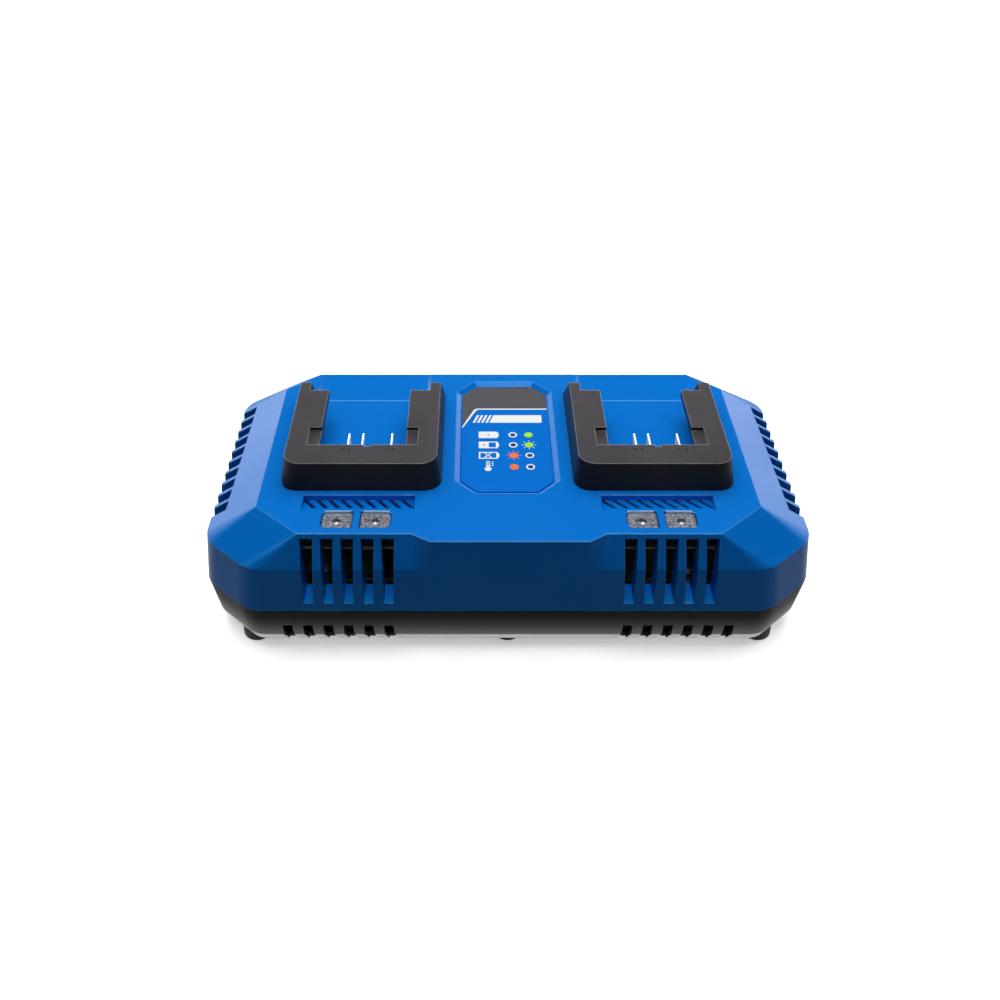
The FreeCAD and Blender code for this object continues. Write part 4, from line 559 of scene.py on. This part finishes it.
def makeWindow():
    material, tree, skin = newMaterial("frostedWindow")
    look = windowLook
    place = objectPlace(tree)
    split = splitAxes(tree, place)
    x = awayFrom(tree, mathNode(tree, "ABSOLUTE", split[0]), look["dockCentre"] * mm)
    x = awayFrom(tree, x, look["offset"] * mm)
    rise = mathNode(tree, "SUBTRACT", split[1], look["y"] * mm)
    y = mathNode(tree, "ABSOLUTE", rise)
    drop = mathNode(tree, "ABSOLUTE", mathNode(tree, "ADD", rise, look["glintDrop"] * mm))
    haze = noiseNode(tree, place, look["hazeScale"], look["hazeDetail"], look["hazeRough"])
    ribs = addNode(tree, "ShaderNodeTexWave", bands_direction="Y")
    feedAll(tree, ribs, {"Vector": place, "Scale": look["ribScale"], "Distortion": look["ribTwist"],
                         "Detail Scale": look["ribFine"]})
    wobble = mathNode(tree, "MULTIPLY", mathNode(tree, "SUBTRACT", haze, 0.5), look["wobble"])

    def spot(name, along):
        reach = mathNode(tree, "ADD", mathNode(tree, "DIVIDE", x, look[name + "X"] * mm),
                         mathNode(tree, "DIVIDE", along, look[name + "Y"] * mm))
        reach = mathNode(tree, "ADD", reach, wobble)
        return mapRange(tree, reach, look["spotFrom"], look["spotTo"], soft=True)

    edgeX = mathNode(tree, "GREATER_THAN", x, (look["halfWidth"] - look["rim"]) * mm)
    edgeY = mathNode(tree, "GREATER_THAN", y, (look["halfDepth"] - look["rim"]) * mm)
    gapShade = product(tree, mathNode(tree, "MAXIMUM", edgeX, edgeY), look["gapShadeAmount"])
    speck = mapRange(tree, haze, look["speckFrom"], look["speckTo"])
    colour = mixColour(tree, speck, look["shade"], look["pale"])
    ribbed = product(tree, ribs.outputs["Fac"], look["ribShade"])
    colour = mixColour(tree, ribbed, colour, look["shade"])
    # painted shade in the gap round the edge and on the prism, and a painted highlight below it
    for name, mask in (("gapShade", gapShade), ("prismShade", spot("prismShade", y)), ("glint", spot("glint", drop))):
        colour = mixColour(tree, mask, colour, look[name])
    feedAll(tree, skin, {
        "Base Color": colour,
        "Roughness": mapRange(tree, haze, 0.0, 1.0, look["roughLow"], look["roughHigh"]),
        "Normal": bumpNode(tree, haze, look["bump"], look["bumpDepth"]),
        "Coat Weight": look["coat"],
    })
    return material


finishes = {name: makePlastic(name, look) for name, look in plasticLooks.items()}
finishes.update({name: makeMetal(name, look) for name, look in metalLooks.items()})
finishes["frostedWindow"] = makeWindow()

nodeFinish = {
    "upper_housing": "blueShell", "lower_housing": "blackBase", "label_overlay": "labelBlue",
    "dock_frame": "dockBlack", "terminal_block": "terminalBlack", "contact_blades": "bladeNickel",
    "light_shroud": "terminalBlack", "light_board": "boardGreen", "status_leds": "lampLens",
    "output_harness": "wireRed", "light_window": "frostedWindow", "main_board": "boardGreen",
    "transformer_core": "ferriteGrey", "transformer_winding": "coilTape",
    "heat_sink": "sinkAluminium", "bulk_capacitors": "canSleeve", "output_capacitors": "canSleeve",
    "power_transistors": "epoxyBlack", "mains_choke": "coilCopper", "fuse": "fuseGlass",
    "board_connectors": "nylonIvory", "fan_frame": "fanBlack", "fan_rotor": "fanBlack",
    "rubber_feet": "footRubber", "cord_gland": "footRubber", "housing_screws": "screwZinc",
    "board_screws": "screwZinc", "light_board_screws": "screwZinc", "block_screws": "screwZinc",
    "dock_screws": "screwZinc",
}


def dressNodes():
    for name, node in nodes.items():
        stem = max((key for key in nodeFinish if name.startswith(key)), key=len)
        node.data.materials.clear()
        node.data.materials.append(finishes[nodeFinish[stem]])


dressNodes()
print("CAD nodes dressed")

# printed marks on the label, in millimetres on the label's plane
labelPrint = {
    "height": 73.7, "thick": 0.05, "merge": 0.002,
    "bandColour": (0.078, 0.078, 0.087), "white": (0.86, 0.88, 0.90),
    "green": (0.40, 0.80, 0.05), "orange": (0.95, 0.19, 0.045), "hole": (0.01, 0.05, 0.20),
}

inkLook = {
    "edgeHighlightAmount": 0.0, "edgeWidth": 0.0001, "grainScale": 5200.0, "grainHeight": 0.08,
    "roughLow": 0.32, "roughHigh": 0.42, "specular": 0.12,
}


def inkMaterial(name, colour, shade=0.92):
    material, tree, skin = newMaterial(name)
    darker = tuple(value * shade for value in colour)
    group = useGroup(tree, mouldedSkin, base=colour, blotch=darker, edge=colour,
                     **without(inkLook, "specular"))
    coverSkin(tree, skin, group["colour"], group)
    skin.inputs["Specular IOR Level"].default_value = inkLook["specular"]
    return material


inks = {
    "band": inkMaterial("inkBand", labelPrint["bandColour"]),
    "white": inkMaterial("inkWhite", labelPrint["white"], 0.96),
    "green": inkMaterial("inkGreen", labelPrint["green"]),
    "orange": inkMaterial("inkOrange", labelPrint["orange"]),
    "hole": inkMaterial("inkHole", labelPrint["hole"]),
}


def deselectAll():
    if bpy.context.object and bpy.context.object.mode != "OBJECT":
        bpy.ops.object.mode_set(mode="OBJECT")
    bpy.ops.object.select_all(action="DESELECT")


def applyPlace(piece):
    deselectAll()
    piece.select_set(True)
    bpy.context.view_layer.objects.active = piece
    bpy.ops.object.transform_apply(location=True, rotation=True, scale=True)


def giveInk(piece, ink):
    piece.data.materials.clear()
    piece.data.materials.append(inks[ink])
    return piece


# a printed patch: a flat closed curve with a hair of thickness, made a mesh
def printedPatch(name, corners, ink, layer=0):
    deselectAll()
    half = labelPrint["thick"] / 2
    outline = bpy.data.curves.new(name, "CURVE")
    outline.dimensions = "2D"
    outline.fill_mode = "BOTH"
    outline.extrude = half * mm
    line = outline.splines.new("POLY")
    line.points.add(len(corners) - 1)
    for point, (x, y) in zip(line.points, corners):
        point.co = (x * mm, y * mm, 0, 1)
    line.use_cyclic_u = True
    piece = bpy.data.objects.new(name, outline)
    scene.collection.objects.link(piece)
    piece.select_set(True)
    bpy.context.view_layer.objects.active = piece
    bpy.ops.object.convert(target="MESH")
    piece = bpy.context.object
    piece.location.z = (labelPrint["height"] + layer * labelPrint["thick"] + half) * mm
    applyPlace(piece)
    bpy.ops.object.mode_set(mode="EDIT")
    bpy.ops.mesh.select_all(action="SELECT")
    bpy.ops.mesh.remove_doubles(threshold=labelPrint["merge"] * mm)
    bpy.ops.mesh.normals_make_consistent(inside=False)
    bpy.ops.object.mode_set(mode="OBJECT")
    return giveInk(piece, ink)


# a printed dot, or a ring where a hole is given
def printedDisc(name, x, y, radius, ink, layer=0, hole=0.0, sides=28):
    deselectAll()
    z = labelPrint["height"] + layer * labelPrint["thick"]
    bpy.ops.mesh.primitive_circle_add(vertices=sides, radius=radius * mm, fill_type="NGON",
                                      location=(x * mm, y * mm, z * mm))
    piece = bpy.context.object
    piece.name = name
    bpy.ops.object.mode_set(mode="EDIT")
    bpy.ops.mesh.select_all(action="SELECT")
    if hole > 0:
        bpy.ops.mesh.inset(thickness=(radius - hole) * mm, depth=0)
        bpy.ops.mesh.delete(type="FACE")
        bpy.ops.mesh.select_all(action="SELECT")
    bpy.ops.mesh.extrude_region_move(
        TRANSFORM_OT_translate={"value": (0, 0, labelPrint["thick"] * mm)})
    bpy.ops.mesh.select_all(action="SELECT")
    bpy.ops.mesh.normals_make_consistent(inside=False)
    bpy.ops.object.mode_set(mode="OBJECT")
    applyPlace(piece)
    return giveInk(piece, ink)


def mergePieces(name, parts):
    deselectAll()
    for part in parts:
        part.select_set(True)
    bpy.context.view_layer.objects.active = parts[0]
    bpy.ops.object.join()
    whole = bpy.context.object
    whole.name = name
    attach(whole, "charger")
    return whole


def rectangle(x0, y0, x1, y1):
    return [(x0, y0), (x1, y0), (x1, y1), (x0, y1)]


labelMarks = {
    "bandTop": 54.6, "bandCorner": 46.0, "bandHalf": 24.7, "bandShoulder": 15.6,
    "lineY": 31.2, "lineBend": -16.9, "lineFoot": (-24.6, 12.8), "lineWidth": 1.1,
    "barLow": 17.6, "barHigh": 25.1, "barLeft": -9.1, "barRight": 21.1, "barLean": 2.5,
    "strokeFirst": -18.7, "strokePitch": 2.42, "strokeWidth": 1.35, "strokeCount": 4,
    "iconLeft": -15.2, "iconRight": -3.9, "iconTip": 1.1,
    "rows": (5.8, -3.7, -13.3, -23.6), "iconHalf": 3.1, "iconWall": 0.9,
    "columns": (4.06, 12.93), "dot": 2.45, "ring": 1.55,
    "iconNose": 1.3, "iconDot": 0.55, "cross": 1.9, "crossHalf": 0.45,
    "rayCount": 8, "rayFrom": 3.1, "rayTo": 4.1, "rayHalf": 0.22,
}


def labelBand():
    m = labelMarks
    outline = [
        (m["bandHalf"], m["lineY"]), (m["bandHalf"], m["bandCorner"]),
        (m["bandShoulder"], m["bandTop"]), (-m["bandShoulder"], m["bandTop"]),
        (-m["bandHalf"], m["bandCorner"]),
        (-m["bandHalf"], m["lineFoot"][1]), (m["lineBend"] - 0.7, m["lineY"] - 1.0),
        (m["lineBend"] + 0.9, m["lineY"]),
    ]
    return mergePieces("labelBand", [printedPatch("labelBand", outline, "band")])


def labelLines():
    m = labelMarks
    w = m["lineWidth"]
    footX, footY = m["lineFoot"]
    bend = m["lineBend"]
    line = printedPatch("labelLine", [
        (m["bandHalf"], m["lineY"] - w / 2), (m["bandHalf"], m["lineY"] + w / 2),
        (bend + 0.7, m["lineY"] + w / 2), (bend - 1.1, m["lineY"] - 0.7),
        (footX, footY + 1.0), (footX, footY - 0.9),
        (bend + 0.2, m["lineY"] - 1.6), (bend + 1.4, m["lineY"] - w / 2),
    ], "white", layer=1)
    parts = [line]
    for index in range(m["strokeCount"]):
        x = m["strokeFirst"] + index * m["strokePitch"]
        parts.append(printedPatch("labelStroke", [
            (x, m["barLow"]), (x + m["strokeWidth"], m["barLow"]),
            (x + m["strokeWidth"] + m["barLean"], m["barHigh"]), (x + m["barLean"], m["barHigh"]),
        ], "white"))
    parts.append(printedPatch("labelBar", [
        (m["barLeft"], m["barLow"]), (m["barRight"] - 0.6, m["barLow"]),
        (m["barRight"], m["barLow"] + 0.6), (m["barRight"], m["barHigh"]),
        (m["barLeft"] + m["barLean"], m["barHigh"]),
    ], "white"))
    return mergePieces("labelLines", parts)


def batteryIcon(row, fill):
    m = labelMarks
    y = m["rows"][row]
    half = m["iconHalf"]
    left, right, tip, wall = m["iconLeft"], m["iconRight"], m["iconTip"], m["iconWall"]
    nose = m["iconNose"]
    parts = [printedPatch("iconBody", [
        (left, y - half), (right - tip, y - half), (right, y - nose), (right, y + nose),
        (right - tip, y + half), (left, y + half),
    ], "white")]
    if fill == "full":
        parts.append(printedDisc("iconDot", (left + right) / 2 - 0.1, y, m["iconDot"], "hole", layer=1,
                                 sides=12))
    if fill == "half":
        parts.append(printedPatch("iconWindow", rectangle(
            (left + right) / 2, y - half + wall, right - tip - 0.6, y + half - wall), "blue", layer=1))
        parts.append(printedDisc("iconDot", left + 2.9, y, m["iconDot"], "hole", layer=1, sides=12))
    if fill == "crossed":
        parts.append(printedPatch("iconWindow", rectangle(
            left + wall, y - half + wall, right - tip - 0.5, y + half - wall), "blue", layer=1))
        middle = (left + right - tip) / 2
        reach, bar = m["cross"], m["crossHalf"]
        for rise in (-reach, reach):
            parts.append(printedPatch("iconCross", [
                (middle - reach, y - rise - bar), (middle - reach, y - rise + bar),
                (middle + reach, y + rise + bar), (middle + reach, y + rise - bar),
            ], "white", layer=2))
    return parts


def thermometerIcon(row):
    m = labelMarks
    y = m["rows"][row] + 0.8
    x = (m["iconLeft"] + m["iconRight"]) / 2 - 0.6
    parts = [
        printedPatch("tubeBody", rectangle(x - 1.0, y - 1.6, x + 1.0, y + 3.4), "white"),
        printedDisc("tubeTop", x, y + 3.4, 1.0, "white", sides=16),
        printedDisc("tubeBulb", x, y - 2.6, 1.9, "white", sides=20),
        printedPatch("tubeBore", rectangle(x - 0.35, y + 0.6, x + 0.35, y + 3.4), "blue", layer=1),
    ]
    for step in (0.2, 1.7, 3.2):
        parts.append(printedPatch(
            "tubeTick", rectangle(x + 1.8, y + step, x + 3.0, y + step + 0.5), "white"))
    return parts


def statusRays(x, y, ink):
    m = labelMarks
    parts = []
    for step in range(m["rayCount"]):
        turn = math.radians(360 / m["rayCount"] * step)
        c, s = math.cos(turn), math.sin(turn)
        parts.append(printedPatch("dotRay", [
            (x + c * out - s * side, y + s * out + c * side)
            for out, side in rectangle(m["rayFrom"], -m["rayHalf"], m["rayTo"], m["rayHalf"])
        ], ink))
    return parts


def statusDots():
    m = labelMarks
    one, two = m["columns"]
    rows = m["rows"]
    parts = []
    for x, y in ((one, rows[0]), (one, rows[1]), (two, rows[2]), (two, rows[3])):
        parts.append(printedDisc("dotRing", x, y, m["dot"], "white", hole=m["ring"]))
        parts.append(printedDisc("dotHole", x, y, m["ring"] + 0.02, "hole", sides=24))
    for x, y, ink in ((two, rows[0], "green"), (two, rows[1], "green"), (one, rows[2], "orange"),
                      (one, rows[3], "orange")):
        parts.append(printedDisc("dotLit", x, y, m["dot"], ink))
    parts += statusRays(two, rows[1], "white")
    parts += statusRays(one, rows[2], "orange")
    return mergePieces("statusDots", parts)


inks["blue"] = finishes["labelBlue"]
labelBand()
labelLines()
mergePieces("labelIcons", batteryIcon(0, "full") + batteryIcon(1, "half") + batteryIcon(2, "crossed")
            + thermometerIcon(3))
statusDots()
print("label printed")


def selectFaces(piece, test):
    bpy.ops.object.mode_set(mode="EDIT")
    bpy.ops.mesh.select_mode(type="FACE")
    bpy.ops.mesh.select_all(action="DESELECT")
    bpy.ops.object.mode_set(mode="OBJECT")
    for face in piece.data.polygons:
        face.select = test(face)
    bpy.ops.object.mode_set(mode="EDIT")


def selectCorners(piece, test):
    bpy.ops.object.mode_set(mode="EDIT")
    bpy.ops.mesh.select_mode(type="VERT")
    bpy.ops.mesh.select_all(action="DESELECT")
    bpy.ops.object.mode_set(mode="OBJECT")
    for corner in piece.data.vertices:
        corner.select = test(corner.co)
    bpy.ops.object.mode_set(mode="EDIT")


# a block between two ends on each axis, in millimetres
def addBlock(name, *spans):
    deselectAll()
    bpy.ops.mesh.primitive_cube_add(size=1, location=[(low + high) / 2 * mm for low, high in spans],
                                    scale=[(high - low) * mm for low, high in spans])
    block = bpy.context.object
    block.name = name
    applyPlace(block)
    return block


def softenEdges(piece, width):
    edges = piece.modifiers.new("softEdges", "BEVEL")
    edges.width = width * mm
    edges.segments = 2
    edges.limit_method = "ANGLE"
    bpy.ops.object.modifier_apply(modifier="softEdges")


def copyTo(piece, name, shift):
    twin = piece.copy()
    twin.data = piece.data.copy()
    twin.name = name
    scene.collection.objects.link(twin)
    twin.location = [value * mm for value in shift]
    applyPlace(twin)
    return twin


def smoothByAngle(piece, angle=35):
    deselectAll()
    piece.select_set(True)
    bpy.context.view_layer.objects.active = piece
    bpy.ops.object.shade_smooth_by_angle(angle=math.radians(angle))


# rubber feet: one at each corner and one at the front middle
footLook = {
    "cornerX": 133.4, "cornerY": 70.2, "radius": 8.0, "height": 8.4,  # millimetres
    "roundOver": 1.0, "rim": 2.2, "dish": 0.6,  # millimetres
    "sides": 48, "roundSteps": 4,
}


def rubberFeet():
    f = footLook
    deselectAll()
    bpy.ops.mesh.primitive_cylinder_add(
        vertices=f["sides"], radius=f["radius"] * mm, depth=f["height"] * mm,
        location=(-f["cornerX"] * mm, -f["cornerY"] * mm, f["height"] / 2 * mm))
    first = bpy.context.object
    first.name = "footFrontLeft"
    selectFaces(first, lambda face: face.normal.z < -0.99)
    bpy.ops.mesh.bevel(offset=f["roundOver"] * mm, segments=f["roundSteps"], affect="EDGES")
    bpy.ops.object.mode_set(mode="OBJECT")
    selectFaces(first, lambda face: face.normal.z < -0.99 and len(face.vertices) > 8)
    bpy.ops.mesh.inset(thickness=f["rim"] * mm, depth=-f["dish"] * mm)
    bpy.ops.object.mode_set(mode="OBJECT")
    applyPlace(first)
    smoothByAngle(first)
    first.data.materials.append(finishes["footRubber"])
    across, along = 2 * f["cornerX"], 2 * f["cornerY"]
    feet = [first] + [copyTo(first, name, shift) for name, shift in (
        ("footFrontRight", (across, 0, 0)), ("footRearLeft", (0, along, 0)),
        ("footRearRight", (across, along, 0)), ("footMiddle", (across / 2, 0, 0)))]
    whole = mergePieces("rubberFeet", feet)
    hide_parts("rubber_feet")


rubberFeet()

# the contact blades, a little longer and higher than their solids
bladeLook = {
    "offsets": (-8.1, -0.5, 15.2), "dockCentre": 77.5, "thick": 0.9,  # millimetres
    "front": -36.5, "tip": -12.6, "low": 79.5, "high": 88.2, "lead": 0.28, "round": 0.1,
}


def contactBlades():
    b = bladeLook
    for side, sign in (("left", -1), ("right", 1)):
        x = sign * b["dockCentre"] + b["offsets"][0]
        first = addBlock("bladeOne", (x - b["thick"] / 2, x + b["thick"] / 2),
                         (b["front"], b["tip"]), (b["low"], b["high"]))
        selectFaces(first, lambda face: face.normal.y > 0.99)
        bpy.ops.mesh.bevel(offset=b["lead"] * mm, segments=2, affect="EDGES")
        bpy.ops.object.mode_set(mode="OBJECT")
        softenEdges(first, b["round"])
        smoothByAngle(first)
        first.data.materials.append(finishes["bladeNickel"])
        blades = [first] + [copyTo(first, "bladeMore", (offset - b["offsets"][0], 0, 0))
                            for offset in b["offsets"][1:]]
        whole = mergePieces("contactBlades" + side.capitalize(), blades)
        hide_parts("contact_blades_" + side)


contactBlades()

# a dark bar behind the bevel on each side: painted shade that fills the lower ends of the tray's slots, where the
# floor would show through
slotShadeFillLook = {
    "middle": 86.65, "half": 30.6, "front": -83.2, "rear": -79.3,  # millimetres
    "low": 7.3, "high": 10.9, "slope": 1.6, "round": 0.2, "near": 0.1,
}


def slotShadeFill():
    e = slotShadeFillLook
    first = addBlock("slotShadeFillLeft", (-e["middle"] - e["half"], -e["middle"] + e["half"]),
                     (e["front"], e["rear"]), (e["low"], e["high"]))
    front, low = (e["front"] + e["near"]) * mm, (e["low"] + e["near"]) * mm
    selectCorners(first, lambda place: place.y < front and place.z < low)  # moved back, to follow the bevel
    bpy.ops.transform.translate(value=(0, e["slope"] * mm, 0))
    bpy.ops.object.mode_set(mode="OBJECT")
    softenEdges(first, e["round"])
    first.data.materials.append(finishes["slotShadeBlack"])
    second = copyTo(first, "slotShadeFillRight", (2 * e["middle"], 0, 0))
    mergePieces("slotShadeFill", [first, second])


slotShadeFill()
print("feet, blades and slot ends made")


# floor, world and lamp
studio = {
    "floorSize": 12, "floorBounce": 0.12, "floorWhite": 0.96, "floorShine": 0.30, "floorGlow": 0.40,
    "liftNear": 0.42, "liftFar": 0.80, "liftFade": (0.5, 0.95),
    "liftReach": 24.0, "liftSamples": 8,  # reach in millimetres
    "topPower": 10.6, "topWide": 1.3, "topDeep": 0.9,
    "topPlace": (0, 0.42, 1.25), "topAim": (0, 0.02, 0.05),
    "skyUp": 0.52, "skyFront": 0.02, "skyBack": 0.35, "skyTurn": (-0.5, 0.6), "skyRise": (0.2, 0.9),
    # seen in reflections only: a band low at the back and sides, and a panel high in front
    "shineBand": 3.8, "shineSky": 0.02, "shineFade": (0.34, 0.47),
    "shineFront": 0.12, "shineTurn": (-0.1, 0.35),
    "panel": 22.0, "panelRise": (0.55, 0.70), "panelTurn": (-0.08, -0.20),
}


def setFloor():
    deselectAll()
    bpy.ops.mesh.primitive_plane_add(size=studio["floorSize"], location=(0, 0, 0))
    floor = bpy.context.object
    floor.name = "benchTop"
    material, tree, skin = newMaterial("paleBench")
    path = addNode(tree, "ShaderNodeLightPath").outputs
    glossy = path["Is Glossy Ray"]
    seen = mathNode(tree, "MAXIMUM", path["Is Camera Ray"], path["Is Transmission Ray"])
    dim, shine, pale = [(studio[key],) * 3 for key in ("floorBounce", "floorShine", "floorWhite")]
    bounced = mixColour(tree, glossy, dim, shine)
    nook = nookNode(tree, studio["liftReach"], studio["liftSamples"])  # painted contact shadow: the lift is lower where the object is near, on top of the floor's lit shadow
    clear = mapRange(tree, nook, *studio["liftFade"], studio["liftNear"], studio["liftFar"])
    lift = mathNode(tree, "ADD", product(tree, seen, clear), product(tree, glossy, studio["floorGlow"]))
    feedAll(tree, skin, {
        "Base Color": mixColour(tree, seen, bounced, pale), "Roughness": 1.0, "Specular IOR Level": 0.0,
        "Emission Color": (1.0, 1.0, 1.0), "Emission Strength": lift,
    })
    floor.data.materials.append(material)


def setWorld():
    world = bpy.data.worlds.new("softStudio")
    scene.world = world
    world.use_nodes = True
    tree = world.node_tree
    ray = splitAxes(tree, addNode(tree, "ShaderNodeTexCoord").outputs["Generated"])

    def fade(axis, name, low=0.0, high=1.0):
        return mapRange(tree, ray[axis], *studio[name], low, high, soft=True)

    back = fade(1, "skyTurn", studio["skyFront"], studio["skyBack"])
    glow = mathNode(tree, "ADD", back, fade(2, "skyRise", 0.0, studio["skyUp"]))
    band = fade(2, "shineFade", studio["shineBand"], studio["shineSky"])
    band = product(tree, band, fade(1, "shineTurn", studio["shineFront"]))
    panel = product(tree, fade(2, "panelRise"), studio["panel"], fade(1, "panelTurn"))
    shine = mathNode(tree, "ADD", band, panel)
    path = addNode(tree, "ShaderNodeLightPath").outputs
    seen = mathNode(tree, "MAXIMUM", path["Is Camera Ray"], path["Is Transmission Ray"])
    level = mixValue(tree, path["Is Glossy Ray"], glow, shine)
    feedAll(tree, tree.nodes["Background"], {
        "Color": (1.0, 1.0, 1.0), "Strength": mixValue(tree, seen, level, 1.0)})


def addLamp(name, place, aim, width, depth, power):
    data = bpy.data.lights.new(name, "AREA")
    data.shape = "RECTANGLE"
    data.size = width
    data.size_y = depth
    data.energy = power
    lamp = bpy.data.objects.new(name, data)
    scene.collection.objects.link(lamp)
    lamp.location = place
    lamp.rotation_euler = (Vector(aim) - Vector(place)).to_track_quat("-Z", "Y").to_euler()


setFloor()
setWorld()
addLamp("topSoftbox", studio["topPlace"], studio["topAim"],
        studio["topWide"], studio["topDeep"], studio["topPower"])
scene.view_settings.view_transform = "Standard"
print("studio lit")
